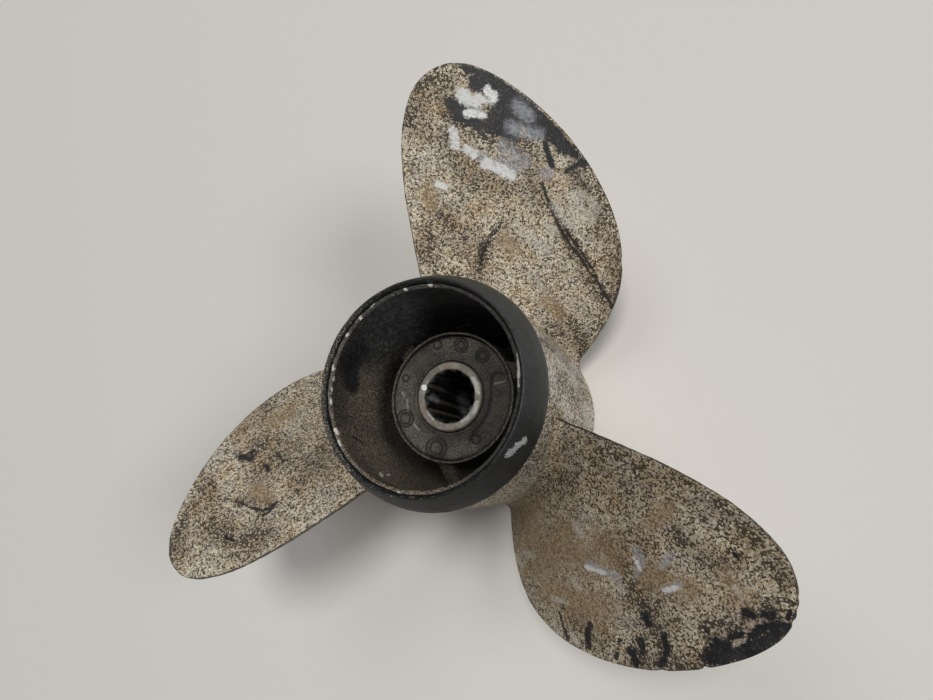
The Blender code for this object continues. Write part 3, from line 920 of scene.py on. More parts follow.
# %% Turn the barrel
LIP_HEIGHT = 0.1146
LIP_RADIUS = 0.0384
LIP_BORE = 0.0370
LIP_CROWN = 0.0005
NECK_RADIUS = 0.0424
BORE_AFT = 0.0385
BORE_FORWARD = 0.0380
RIM_CHAMFER = 0.0006
HUB_STEPS = 360
BARREL_ROUND, BARREL_SPACING = 0.0005, 0.0014
# How wide the lumps and chips are, and how far they reach
BARREL_LUMPS, LIP_LUMPS, LIP_CHIPS = (0.012, 0.00012), (0.004, 0.00020), (0.0016, 0.0007)
WORN_SIDE = math.radians(197.0)
BROWN_SIDE = math.radians(215.0)
# The side whose bore and ring get a painted sheen, where the lamps leave them dim
SHEEN_SIDE = math.radians(85.0)
GREASY_SIDE = math.radians(-65.0)

barrel_profile = [
    (LIP_BORE, LIP_HEIGHT),
    (LIP_RADIUS - 0.0004, LIP_HEIGHT + LIP_CROWN),
    (LIP_RADIUS, LIP_HEIGHT + LIP_CROWN),
    (NECK_RADIUS, HUB_TAPER_LENGTH),
    (HUB_RADIUS, HUB_TAPER_LENGTH),
    (HUB_FORWARD_RADIUS + CASTING_GAP, COLLAR_LENGTH),
    (COLLAR_RADIUS, COLLAR_LENGTH),
    (COLLAR_RADIUS, RIM_CHAMFER),
    (COLLAR_RADIUS - RIM_CHAMFER, 0.0),
    (BORE_FORWARD, 0.0),
    (BORE_AFT, HUB_TAPER_LENGTH),
]


def dent_barrel(radius, height, angles):
    lip = fade(height, LIP_HEIGHT - 0.004, LIP_HEIGHT - 0.001)
    radius = radius + lumpy(radius, height, angles, *BARREL_LUMPS)
    radius = radius + lip * lumpy(radius, height, angles, *LIP_LUMPS)
    height = height - lip * np.abs(lumpy(radius, height, angles, *LIP_CHIPS))
    return radius, height


barrel_profile = fill_in(soften(barrel_profile, BARREL_ROUND), BARREL_SPACING)
barrel, radius, height, angles = turned(
    "cast_barrel", barrel_profile, HUB_STEPS, worn_casting, dent_barrel
)

# %% Mask the barrel's soot, grime, wear and painted sheen
AROUND_SCALE, ALONG_SCALE = 9.0, 22.0
inside = fade(radius, BORE_AFT + 0.0006, BORE_AFT)
below_lip = fade(height, LIP_HEIGHT + 0.0002, LIP_HEIGHT - 0.0006)
neck = fade(height, HUB_TAPER_LENGTH, HUB_TAPER_LENGTH + 0.002)
near_side = share_toward(0.0, angles) ** 3
sheen_side = share_toward(SHEEN_SIDE, angles) ** 3
spots = zip(np.cos(angles) * AROUND_SCALE, np.sin(angles) * AROUND_SCALE, height * ALONG_SCALE)
streaky = np.array([noise.noise(Vector(spot)) for spot in spots])
set_mask(barrel, "soot", np.maximum(inside * below_lip, neck * 0.85))
set_mask(barrel, "bare", 0.05 + 0.42 * share_toward(BROWN_SIDE, angles) ** 6)
set_mask(barrel, "fleck", (1 - inside) * (1 - neck) * (0.22 + 0.78 * near_side))
# A pale painted sheen on the bore's top side, which the lamps leave dim: painted light.
set_mask(barrel, "haze_and_sheen", 0.85 * inside * below_lip * sheen_side)
set_mask(barrel, "edge", neck * (0.95 - 0.55 * share_toward(WORN_SIDE, angles)))
set_mask(barrel, "dirt", np.clip(0.8 * streaky, 0, 1) * (height > COLLAR_LENGTH))
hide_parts("hub_barrel")
print(f"barrel: {len(barrel.data.polygons)} faces")

# %% [markdown]
# ## The inner tube and its webs
#
# The bush sits in a thin tube, and three webs carry that tube in the barrel. Exhaust gas passes
# between them. Both are black with soot, and only the tube's rim is rubbed down to a grainy
# brown, which the mask named bare holds. A web is a plate with a small fillet at both feet and an
# aft edge that slopes away towards the barrel. Its section is lofted from the tube's side to the
# bore, and both ends sink a little into what they join, as they would in one casting.

# %% Turn the inner tube
TUBE_AFT_HEIGHT = 0.0860
TUBE_FORWARD_HEIGHT = 0.0030
TUBE_AFT_RADIUS = 0.0266
TUBE_FORWARD_RADIUS = 0.0285
TUBE_BORE = 0.0256
TUBE_DEEP_BORE = 0.0250
TUBE_SEAT_HEIGHT = 0.0140
TUBE_SEAT_BORE = 0.0190
TUBE_ROUND, TUBE_SPACING, TUBE_STEPS = 0.0004, 0.0016, 240
TUBE_LUMPS, TUBE_CHIPS = (0.010, 0.00008), (0.003, 0.00025)

tube_profile = [
    (TUBE_BORE, TUBE_AFT_HEIGHT),
    (TUBE_AFT_RADIUS, TUBE_AFT_HEIGHT),
    (TUBE_FORWARD_RADIUS, TUBE_FORWARD_HEIGHT),
    (TUBE_SEAT_BORE, TUBE_FORWARD_HEIGHT),
    (TUBE_SEAT_BORE, TUBE_SEAT_HEIGHT),
    (TUBE_DEEP_BORE, TUBE_SEAT_HEIGHT),
    (TUBE_DEEP_BORE, TUBE_AFT_HEIGHT - 0.0030),
    (TUBE_BORE, TUBE_AFT_HEIGHT - 0.0024),
]


def dent_tube(radius, height, angles):
    rim = fade(height, TUBE_AFT_HEIGHT - 0.003, TUBE_AFT_HEIGHT - 0.001)
    radius = radius + lumpy(radius, height, angles, *TUBE_LUMPS)
    return radius, height - rim * np.abs(lumpy(radius, height, angles, *TUBE_CHIPS))


tube_profile = fill_in(soften(tube_profile, TUBE_ROUND), TUBE_SPACING)
tube, _, height, _ = turned("cast_tube", tube_profile, TUBE_STEPS, worn_casting, dent_tube)
tube_rim = fade(height, TUBE_AFT_HEIGHT - 0.0012, TUBE_AFT_HEIGHT - 0.0006)
set_mask(tube, "soot", np.ones(len(height)))
set_mask(tube, "bare", 0.05 + 0.30 * tube_rim)
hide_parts("inner_tube")
print(f"tube: {len(tube.data.polygons)} faces")

# %% Loft the three webs
WEB_ANGLES = {1: 157.0, 2: 277.0, 3: 37.0}
WEB_THICKNESS = 0.0065
WEB_FORWARD_HEIGHT = 0.0060
# Share of the way from the tube to the bore, and the height of the web's aft edge there
WEB_AFT_EDGE = ((0.0, 0.0840), (0.45, 0.0750), (0.70, 0.0695), (1.0, 0.0660))
WEB_FILLET = 0.0022
WEB_SINK = 0.0004
WEB_ROWS = 22
WEB_ROUND = 0.0016
WEB_SIDE_STEPS, WEB_BEND_STEPS = 30, 9
FILLET_CLIMB = 0.6


def fillet_growth(distance, fillet):
    """How far a round fillet stands out at this distance from the wall that it flows into."""
    left = max(fillet - distance, 0.0)
    return fillet - math.sqrt(fillet**2 - left**2)


def web_section(share, gap):
    """One closed loop of (sideways, height) points across the web."""
    growth = fillet_growth(share * gap, WEB_FILLET) + fillet_growth((1 - share) * gap, WEB_FILLET)
    half = WEB_THICKNESS / 2 + growth
    top = np.interp(share, *zip(*WEB_AFT_EDGE)) + growth * FILLET_CLIMB
    low = WEB_FORWARD_HEIGHT - growth * FILLET_CLIMB
    side = np.linspace(low + WEB_ROUND, top - WEB_ROUND, WEB_SIDE_STEPS)
    bends = np.linspace(0.0, math.pi, WEB_BEND_STEPS)[1:-1]
    loop = [(half, z) for z in side]
    loop += [(half * math.cos(b), top - WEB_ROUND + WEB_ROUND * math.sin(b)) for b in bends]
    loop += [(-half, z) for z in side[::-1]]
    loop += [(-half * math.cos(b), low + WEB_ROUND - WEB_ROUND * math.sin(b)) for b in bends]
    return loop


def web_point(share, across, z, direction):
    """The point of a web at this share of the way from the tube's side to the bore."""
    sideways = Vector((-direction.y, direction.x, 0.0))
    along = (z - TUBE_FORWARD_HEIGHT) / (TUBE_AFT_HEIGHT - TUBE_FORWARD_HEIGHT)
    start = TUBE_FORWARD_RADIUS + (TUBE_AFT_RADIUS - TUBE_FORWARD_RADIUS) * along
    start -= WEB_SINK
    end = BORE_FORWARD + (BORE_AFT - BORE_FORWARD) * z / HUB_TAPER_LENGTH + WEB_SINK
    reach = math.sqrt((start + (end - start) * share) ** 2 - across**2)
    return direction * reach + sideways * across + Vector((0, 0, z + FLOOR))


def make_web(number, degrees):
    shape = bmesh.new()
    turn = math.radians(degrees)
    direction = Vector((math.cos(turn), math.sin(turn), 0.0))
    loops = []
    for k in range(WEB_ROWS + 1):
        share = 0.5 - 0.5 * math.cos(math.pi * k / WEB_ROWS)
        section = web_section(share, BORE_AFT - TUBE_AFT_RADIUS)
        loops.append([shape.verts.new(web_point(share, *spot, direction)) for spot in section])
    for inner, outer in zip(loops, loops[1:]):
        for i in range(len(inner)):
            n = (i + 1) % len(inner)
            shape.faces.new((inner[i], inner[n], outer[n], outer[i]))
    shape.faces.new(loops[0])
    shape.faces.new(loops[-1])
    mesh = bpy.data.meshes.new(f"cast_web_{number}")
    shape.to_mesh(mesh)
    shape.free()
    mesh.shade_smooth()
    mesh.materials.append(worn_casting)
    web = face_outward(new_object(mesh.name, mesh))
    set_mask(web, "soot", np.full(len(mesh.vertices), 0.85))
    set_mask(web, "bare", np.full(len(mesh.vertices), 0.35))
    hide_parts(f"web_{number}")
    return web


webs = {number: make_web(number, degrees) for number, degrees in WEB_ANGLES.items()}
print(f"{len(webs)} webs, {len(webs[1].data.polygons)} faces each")

# %% [markdown]
# ## The aft ring
#
# The ring tapers from the barrel's diameter to a narrower rim, with a slight belly. It is worn to
# bare metal along the rim's flat land, most of all on one side, and its forward edge is scuffed
# too. The wear, the painted sheen on the top side and the greasy side are masks that follow the
# profile and the angle.

# %% Turn the ring
RING_FOOT = 0.1016
RING_RADIUS = 0.0450
RING_RIM = 0.0404
RING_HEIGHT = 0.1170
RING_GAP = 0.0003
RING_ROUND, RING_SPACING = 0.0006, 0.0010
RING_LUMPS, RING_CHIPS = (0.015, 0.00007), (0.0025, 0.00040)

ring_profile = [
    (LIP_RADIUS + RING_GAP, RING_HEIGHT - 0.0012),
    (RING_RIM - 0.0008, RING_HEIGHT),
    (RING_RIM - 0.0002, RING_HEIGHT),
    (RING_RIM + 0.0003, RING_HEIGHT - 0.0009),
    (0.0420, RING_HEIGHT - 0.0040),
    (0.0436, RING_HEIGHT - 0.0080),
    (0.0447, RING_HEIGHT - 0.0120),
    (RING_RADIUS, RING_FOOT + 0.0014),
    (RING_RADIUS, RING_FOOT),
    (NECK_RADIUS + RING_GAP, RING_FOOT),
    (LIP_RADIUS + RING_GAP, LIP_HEIGHT),
]


def dent_ring(radius, height, angles):
    rim = fade(height, RING_HEIGHT - 0.003, RING_HEIGHT - 0.001)
    radius = radius + lumpy(radius, height, angles, *RING_LUMPS)
    return radius, height - rim * np.abs(lumpy(radius, height, angles, *RING_CHIPS))


ring_profile = fill_in(soften(ring_profile, RING_ROUND), RING_SPACING)
ring, radius, height, angles = turned(
    "black_ring", ring_profile, HUB_STEPS, scuffed_black, dent_ring
)
land = fade(height, RING_HEIGHT - 0.0015, RING_HEIGHT - 0.0011)
land = land * fade(radius, RING_RIM - 0.0003, RING_RIM - 0.0005)
foot = fade(height, RING_FOOT + 0.0012, RING_FOOT + 0.0002) * (radius > RING_RADIUS - 0.0006)
worn_land = land * (0.10 + 0.46 * share_toward(WORN_SIDE, angles) ** 1.5)
below_rim = height < RING_HEIGHT - 0.0008
set_mask(ring, "worn", np.maximum(worn_land, foot * 0.32))
# The haze mask here is a painted sheen: the ring's top side is made lighter.
set_mask(ring, "haze_and_sheen", share_toward(SHEEN_SIDE, angles) ** 3)
set_mask(ring, "dirt", share_toward(GREASY_SIDE, angles) ** 2 * below_rim)
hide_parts("aft_ring")
print(f"ring: {len(ring.data.polygons)} faces")

# %% [markdown]
# ## The rubber bush
#
# The bush is one moulded piece. Its face has a raised lip round the sleeve and a few moulded
# rings and a curved line, left by the mould. Those repeat, so a second Geometry Nodes tree sets a
# thin ring on each point of a small mesh, and scales it by that point's own radius. The rings and
# the line are painted almost black, with a thin dark band round their feet: painted shade.

# %% Turn the bush
BUSH_RADIUS = 0.0247
BUSH_FLANGE = 0.0253
BUSH_FACE = 0.0863
BUSH_BORE = 0.0144
BUSH_FOOT = 0.0143
BUSH_LIP = 0.0011
FACE_DROP = 0.0004
# Where the face's edge has shrunk away from the tube, and how far
SHRUNK_SIDE = math.radians(118.0)
SHRINKAGE = 0.0009
BUSH_ROUND, BUSH_SPACING, BUSH_FACE_SPACING, BUSH_STEPS = 0.0004, 0.0014, 0.0004, 320

bush_profile = [
    (BUSH_BORE, BUSH_FACE - 0.0014),
    (BUSH_BORE + 0.0003, BUSH_FACE),
    (BUSH_BORE + BUSH_LIP, BUSH_FACE),
    (BUSH_BORE + BUSH_LIP + 0.0005, BUSH_FACE - FACE_DROP),
    (BUSH_FLANGE - 0.0008, BUSH_FACE - FACE_DROP),
    (BUSH_FLANGE, BUSH_FACE - FACE_DROP - 0.0008),
    (BUSH_FLANGE, BUSH_FACE - 0.0022),
    (BUSH_RADIUS, BUSH_FACE - 0.0028),
    (BUSH_RADIUS, BUSH_FOOT),
    (BUSH_BORE, BUSH_FOOT),
]


def shrink_face(radius, height, angles):
    face_edge = fade(radius, 0.020, 0.024) * (height > BUSH_FACE - 0.0030)
    toward = np.clip(np.cos(angles - SHRUNK_SIDE), 0, 1) ** 6
    return radius - face_edge * toward * SHRINKAGE, height


bush_profile = fill_in(
    soften(bush_profile, BUSH_ROUND), BUSH_SPACING, BUSH_FACE_SPACING, BUSH_FACE - 0.0006
)
bush, *_ = turned("rubber_body", bush_profile, BUSH_STEPS, old_rubber, shrink_face)
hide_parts("rubber_bush")
print(f"bush: {len(bush.data.polygons)} faces")

# %% Raise the moulded rings
# Centre in the photograph and radius in metres
MOULDED_RINGS = (
    ((461.0, 345.0), 0.00300),
    ((482.6, 355.5), 0.00300),
    ((405.4, 418.4), 0.00370),
    ((436.3, 448.0), 0.00455),
    ((437.7, 344.6), 0.00190),
    ((405.8, 378.2), 0.00145),
    ((476.0, 439.2), 0.00190),
    ((461.0, 345.0), 0.00165),
    ((482.6, 355.5), 0.00170),
    ((405.4, 418.4), 0.00230),
    ((436.3, 448.0), 0.00290),
)
MOULDED_LINE = (
    (503, 374), (497, 372), (492, 376), (491, 384), (491, 398), (488, 412),
    (481, 424), (474, 431), (470, 440),
)
MOULD_WIRE = 0.00018
MOULD_PIXELS = 2120.0
MOULD_SQUASH = 0.97
MOULD_FOOT_STEPS = 25
# Widths in pixels of the painted shade round the rings' feet and along the line
MOULD_FOOT_WIDTH, MOULD_LINE_WIDTH = 0.8, 1.7
RING_STEPS, WIRE_STEPS = 48, 8


def on_level(pixel, height):
    """The point that a pixel of the photograph shows, if it lies at this height."""
    ray = photo_ray(pixel)
    return EYE + ray * ((height + FLOOR - EYE.z) / ray.z)


def make_mould_tree():
    tree, wires, ending = new_shape_tree("moulded_marks", {"Wire": MOULD_WIRE})
    sketch = wires["Geometry"]
    size = add_node(tree, "GeometryNodeInputNamedAttribute", {"Name": "ring_size"})
    ring_steps = {"Resolution": RING_STEPS, "Radius": 1.0}
    circle = add_node(tree, "GeometryNodeCurvePrimitiveCircle", ring_steps, "Curve")
    is_ring = size.math("GREATER_THAN", 0.0001)
    inputs = {"Points": sketch, "Instance": circle, "Scale": size, "Selection": is_ring}
    rings = add_node(tree, "GeometryNodeInstanceOnPoints", inputs)
    rings = add_node(tree, "GeometryNodeRealizeInstances", (rings,))
    line = add_node(tree, "GeometryNodeMeshToCurve", {"Mesh": sketch})
    both = tree.nodes.new("GeometryNodeJoinGeometry")
    for part in (rings, line):
        feed(both.inputs[0], part)
    section = {"Resolution": WIRE_STEPS, "Radius": wires["Wire"]}
    section = add_node(tree, "GeometryNodeCurvePrimitiveCircle", section, "Curve")
    inputs = {"Curve": Wire(both.outputs[0]), "Profile Curve": section, "Fill Caps": True}
    finish_shape(add_node(tree, "GeometryNodeCurveToMesh", inputs), wires, ending)
    return tree


def smooth_path(points, steps=6):
    """A denser path through the same points, bent like a draughtsman's spline."""
    path = [Vector(p) for p in points]
    ends = [path[0] * 2 - path[1], *path, path[-1] * 2 - path[-2]]
    dense = []
    for a, b, c, d in zip(ends, ends[1:], ends[2:], ends[3:]):
        for k in range(steps):
            t = k / steps
            bend = (c - a) * t + (a * 2 - b * 5 + c * 4 - d) * t**2
            dense.append(b + (bend + (b * 3 - a - c * 3 + d) * t**3) / 2)
    return dense + [path[-1]]


face_level = BUSH_FACE - FACE_DROP
ring_spots = [on_level(pixel, face_level) for pixel, _ in MOULDED_RINGS]
line_spots = smooth_path([on_level(pixel, face_level) for pixel in MOULDED_LINE])
sketch = bpy.data.meshes.new("mould_sketch")
first = len(ring_spots)
links = [(first + k, first + k + 1) for k in range(len(line_spots) - 1)]
sketch.from_pydata([*ring_spots, *line_spots], links, [])
sizes = sketch.attributes.new("ring_size", "FLOAT", "POINT")
sizes.data.foreach_set("value", [size for _, size in MOULDED_RINGS] + [0.0] * len(line_spots))
moulded = from_tree("moulded_marks", make_mould_tree(), {"Finish": old_rubber}, sketch)
# The moulded rings and line are painted almost black: painted shade along the raised wires.
set_mask(moulded, "dirt", np.full(len(moulded.data.vertices), 0.85))
face_outward(moulded)
print(f"moulded rings: {len(MOULDED_RINGS)} rings and a line, {len(moulded.data.polygons)} faces")

# %% [markdown]
# ## The splined sleeve
#
# The sleeve is steel, with a cone at the mouth of its bore and thirteen teeth that grip the
# shaft. Going round the bore, the radius swings between the teeth's tips and roots, and the cone
# cuts the teeth away near the face.

# %% Turn the sleeve
SLEEVE_RADIUS = 0.0141
SLEEVE_AFT = 0.0870
SLEEVE_FORWARD = 0.0080
SLEEVE_CHAMFER = 0.0006
MOUTH_RADIUS = 0.0111
SPLINE_TEETH = 13
SPLINE_TIP = 0.0096
SPLINE_ROOT = 0.0110
SPLINE_SHARPNESS = 1.5
SLEEVE_ROUND, SLEEVE_SPACING, STEPS_PER_TOOTH = 0.00015, 0.0010, 24

sleeve_profile = [
    (SPLINE_TIP, SLEEVE_AFT - 0.0015),
    (MOUTH_RADIUS, SLEEVE_AFT),
    (SLEEVE_RADIUS - SLEEVE_CHAMFER, SLEEVE_AFT),
    (SLEEVE_RADIUS, SLEEVE_AFT - SLEEVE_CHAMFER),
    (SLEEVE_RADIUS, SLEEVE_FORWARD + SLEEVE_CHAMFER),
    (SLEEVE_RADIUS - SLEEVE_CHAMFER, SLEEVE_FORWARD),
    (MOUTH_RADIUS, SLEEVE_FORWARD),
    (SPLINE_TIP, SLEEVE_FORWARD + 0.0015),
]


def cut_spline(radius, height, angles):
    wave = np.clip(0.5 + SPLINE_SHARPNESS / 2 * np.cos(SPLINE_TEETH * angles), 0, 1)
    teeth = SPLINE_TIP + (SPLINE_ROOT - SPLINE_TIP) * wave
    depth = np.minimum(SLEEVE_AFT - height, height - SLEEVE_FORWARD)
    bore = np.maximum(teeth, MOUTH_RADIUS - depth)
    return np.where(radius < MOUTH_RADIUS - 0.0002, bore, radius), height


sleeve_profile = fill_in(soften(sleeve_profile, SLEEVE_ROUND), SLEEVE_SPACING)
sleeve, radius, *_ = turned(
    "steel_sleeve", sleeve_profile, SPLINE_TEETH * STEPS_PER_TOOTH, dull_steel, cut_spline
)
set_mask(sleeve, "grease", fade(radius, MOUTH_RADIUS + 0.0001, MOUTH_RADIUS - 0.0004))
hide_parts("splined_sleeve")
print(f"sleeve: {len(sleeve.data.polygons)} faces")

# %% [markdown]
# ## Marks
#
# Wear has a history, so it isn't spread evenly: paint stayed near one tip, a rope or a rock cut
# one long scratch, and chalk was rubbed over the dry blades. Each mark below is a short
# stroke, a width followed by the places it passes in the photograph. For every point of a mesh
# the distance to the stroke is measured as the camera sees it, and only points that face the
# camera take the mark. The materials turn these soft numbers into ragged flakes. Where an edge
# was knocked, a few points of the mesh are pushed in, from one pixel toward another.

# %% List the marks on the blades
BLADE_MARKS = {
    1: {
        "paint": (
            (10, (478, 80), (500, 94), (520, 110), (537, 126)),
            (13, (504, 100), (510, 116), (498, 124)),
            (10, (462, 112), (478, 122), (500, 122), (512, 130)), (6, (452, 104), (462, 118)),
            (6, (535, 122), (552, 138), (568, 150)), (5, (553, 133), (572, 153)),
            (3.5, (590, 162), (580, 164)), (2.2, (580, 164), (566, 171)),
            (2.6, (545, 143), (549, 156), (552, 166)),
            (3, (466, 68), (490, 77), (512, 91), (534, 109)),
            (3, (534, 109), (556, 131), (576, 155)),
        ),
        "grime": (
            (4, (432, 68), (452, 70), (470, 72)), (6, (420, 88), (432, 78), (448, 84)),
            (5, (408, 122), (414, 108)), (7, (450, 100), (456, 118), (466, 132)),
            (6, (475, 134), (500, 146), (530, 146)), (4, (441, 214), (452, 226)),
            (4, (576, 156), (594, 182), (606, 208)),
            (3, (606, 208), (617, 240), (621, 268), (617, 296)), (6, (600, 196), (606, 214)),
            (5, (560, 222), (570, 240), (584, 262)), (6, (596, 282), (606, 298)),
            (5, (572, 325), (584, 345), (580, 366)), (5, (558, 312), (574, 323)),
            (5, (545, 328), (560, 336)), (5, (500, 222), (486, 244), (478, 268)),
            (4, (428, 232), (432, 246)), (3, (527, 150), (538, 160)), (3, (604, 314), (592, 332)),
        ),
        "scratch": (
            (1.4, (543, 184), (547, 198), (552, 209)), (2.6, (550, 206), (555, 214)),
            (1.5, (555, 214), (557, 222), (561, 231)),
            (1.4, (561, 231), (566, 238), (572, 248), (578, 254), (583, 262)),
            (0.9, (565, 228), (572, 239), (579, 248), (587, 260)),
            (1.1, (583, 262), (589, 272), (597, 281), (602, 290)), (0.9, (587, 260), (596, 275)),
            (1.6, (602, 290), (608, 298), (611, 305), (615, 312)),
            (0.9, (502, 224), (495, 232), (488, 241)), (1.3, (488, 241), (483, 252), (480, 264)),
            (1.3, (540, 339), (556, 353), (570, 368), (579, 380)),
        ),
        "chalk": (
            (6, (462, 94), (470, 102), (480, 100)), (5, (488, 90), (493, 99)),
            (4.5, (468, 113), (482, 115)), (4.5, (453, 131), (456, 145)),
            (4, (466, 148), (474, 155)), (5, (486, 163), (500, 169), (511, 176)),
            (2.5, (437, 184), (446, 187)),
        ),
        "haze_and_sheen": (
            (7, (518, 106), (527, 116)), (6, (512, 127), (524, 132), (538, 134)),
            (7, (503, 147), (514, 155), (524, 160)), (5, (500, 160), (516, 168)),
            (5, (545, 172), (549, 176)), (5, (484, 158), (494, 168)),
        ),
        "powder": (
            (3.5, (528, 232), (536, 242), (544, 250)), (3.5, (554, 206), (560, 214)),
            (4, (570, 196), (582, 198)), (3.5, (590, 200), (598, 210)),
            (3.5, (566, 222), (576, 224)), (5, (576, 210), (590, 218)),
            (3, (548, 226), (556, 232)),
        ),
        "dirt": (
            (16, (422, 92), (416, 120)), (14, (440, 88), (450, 105)),
            (16, (450, 140), (470, 170), (500, 185)), (9, (575, 170), (592, 200), (600, 230)),
            (9, (615, 240), (617, 280), (607, 305)), (14, (446, 218), (470, 250)),
            (10, (480, 245), (478, 275)), (7, (556, 225), (580, 260), (606, 305)),
            (12, (560, 328), (578, 345)), (9, (425, 230), (428, 262)),
            (13, (525, 150), (540, 200)),
        ),
        "rust": (
            (9, (503, 240), (512, 246)), (8, (430, 205), (428, 190)),
            (7, (545, 300), (560, 312)),
        ),
    },
    2: {
        "paint": (
            (8, (708, 656), (722, 658), (738, 655)), (6, (714, 644), (728, 648)),
            (8, (748, 650), (768, 641), (784, 628)), (4.5, (742, 655), (760, 650)),
            (5, (752, 636), (764, 628), (776, 625)), (4, (744, 612), (752, 616)),
            (4, (764, 613), (772, 617)), (3, (731, 637), (742, 634)),
            (2.5, (788, 620), (790, 612)), (4, (632, 652), (636, 663)),
            (3, (641, 640), (644, 652)), (2.8, (644, 614), (650, 626)),
            (3, (664, 636), (667, 650), (662, 664)), (2.5, (588, 630), (587, 642)),
            (1.6, (705, 628), (708, 632)), (1.6, (734, 554), (738, 558)),
        ),
        "grime": (
            (6, (606, 536), (616, 556)), (5, (624, 562), (634, 584), (642, 604)),
            (6, (642, 604), (650, 622), (658, 634)), (7, (632, 642), (640, 660)),
            (8, (660, 630), (666, 648), (676, 664)), (5, (648, 664), (690, 667)),
            (4, (730, 550), (740, 558)), (4, (668, 530), (684, 538)),
            (3.5, (672, 540), (682, 546)), (3, (702, 560), (710, 568)),
            (3.5, (712, 497), (730, 512)), (4, (738, 522), (760, 545)),
            (3.5, (764, 556), (782, 588)), (5, (700, 628), (716, 622), (738, 630)),
            (5, (744, 606), (770, 610)), (4, (780, 600), (792, 604)), (3, (684, 640), (696, 650)),
            (4, (560, 470), (572, 486)), (4, (600, 450), (640, 470)),
        ),
        "scratch": (
            (1.0, (559, 612), (563, 624), (568, 640)), (0.9, (566, 600), (562, 610)),
            (2.0, (590, 624), (588, 634), (589, 648)), (1.6, (620, 640), (616, 658)),
            (1.0, (700, 664), (708, 668)), (0.9, (556, 418), (580, 428), (610, 439), (650, 455)),
        ),
        "chalk": (
            (2.2, (586, 567), (604, 573)), (2, (634, 558), (640, 570)),
            (2.6, (664, 590), (677, 588)),
        ),
        "haze_and_sheen": (
            (4, (588, 564), (604, 572), (616, 576)), (3.5, (636, 550), (642, 562), (636, 576)),
            (4, (662, 566), (670, 556)), (4, (668, 590), (678, 584)),
        ),
        "powder": (
            (2.2, (525, 552), (534, 556)), (2.2, (574, 580), (580, 588)),
            (2.0, (553, 598), (566, 602)), (2.2, (620, 588), (624, 592)),
            (2.6, (576, 524), (582, 536)), (2.0, (572, 634), (578, 644)),
            (1.8, (516, 556), (522, 566)), (2.6, (735, 588), (742, 596)),
        ),
        # Blade 2's dirt strokes are dirt and painted shade: they darken the root and middle of a
        # blade whose face turns away from the light.
        "dirt": (
            (30, (545, 440), (556, 480)), (24, (590, 450), (620, 480), (640, 500)),
            (26, (600, 440), (660, 470), (720, 500)), (14, (725, 510), (760, 545), (785, 580)),
            (22, (630, 540), (645, 600), (660, 640)), (16, (640, 660), (700, 662)),
            (20, (720, 630), (770, 620)), (13, (675, 535), (700, 550)),
            (12, (575, 620), (600, 640)), (10, (700, 560), (740, 560)),
        ),
        "rust": (
            (22, (545, 560), (565, 540), (585, 560)), (14, (600, 540), (610, 552)),
            (5, (612, 556), (622, 572)), (16, (525, 510), (530, 540)),
            (17, (552, 590), (600, 610)), (13, (650, 575), (690, 590)),
            (9, (650, 525), (668, 512)), (10, (725, 575), (745, 600)),
        ),
    },
    3: {
        "paint": (
            (2.2, (240, 457), (252, 459)), (1.8, (266, 466), (269, 470)),
            (1.5, (250, 453), (255, 450)), (1.5, (280, 457), (283, 461)),
            (1.6, (226, 537), (234, 541)),
        ),
        "grime": (
            (3.2, (238, 458), (252, 457), (262, 449)), (2.4, (258, 448), (272, 440)),
            (3, (264, 468), (268, 460), (276, 458)), (2.4, (276, 454), (288, 460)),
            (6, (214, 530), (228, 538), (244, 542)), (3, (198, 522), (214, 526)),
            (3.4, (250, 538), (266, 532)), (2.4, (196, 486), (204, 494)),
            (1.8, (210, 478), (214, 486)), (3, (204, 480), (210, 484)),
            (2.5, (294, 478), (304, 482)), (3, (184, 514), (194, 504)),
            (3, (262, 500), (274, 508)), (4, (176, 536), (184, 518)),
        ),
        "scratch": (
            (1.1, (225, 498), (240, 503), (258, 510)), (1.3, (256, 510), (270, 509), (277, 502)),
            (1.0, (262, 515), (270, 512)),
        ),
        "dirt": (
            (17, (262, 445), (280, 455), (262, 470)), (16, (215, 530), (245, 545), (262, 535)),
            (9, (200, 480), (212, 495), (190, 510)), (6, (240, 500), (270, 506)),
            (13, (245, 425), (265, 400)), (10, (185, 530), (176, 555)),
            (14, (300, 480), (330, 450)),
        ),
        "rust": ((7, (274, 422), (290, 412)), (8, (258, 490), (266, 496))),
    },
}
print(sum(len(strokes) for marks in BLADE_MARKS.values() for strokes in marks.values()), "strokes")

# Where an edge was struck, where it was pushed to, and the dent's width, all in pixels
EDGE_DENTS = {
    1: (((555, 128), (554, 129), 3.0), ((623, 262), (621.5, 262), 4.0)),
    2: (
        ((706, 668), (704.5, 665), 2.0), ((802, 597), (800, 596.5), 2.5),
        ((801, 611), (799, 610), 3.0), ((794, 623), (792.5, 621.5), 2.5),
        ((662, 671), (662, 669.5), 3.5),
    ),
}

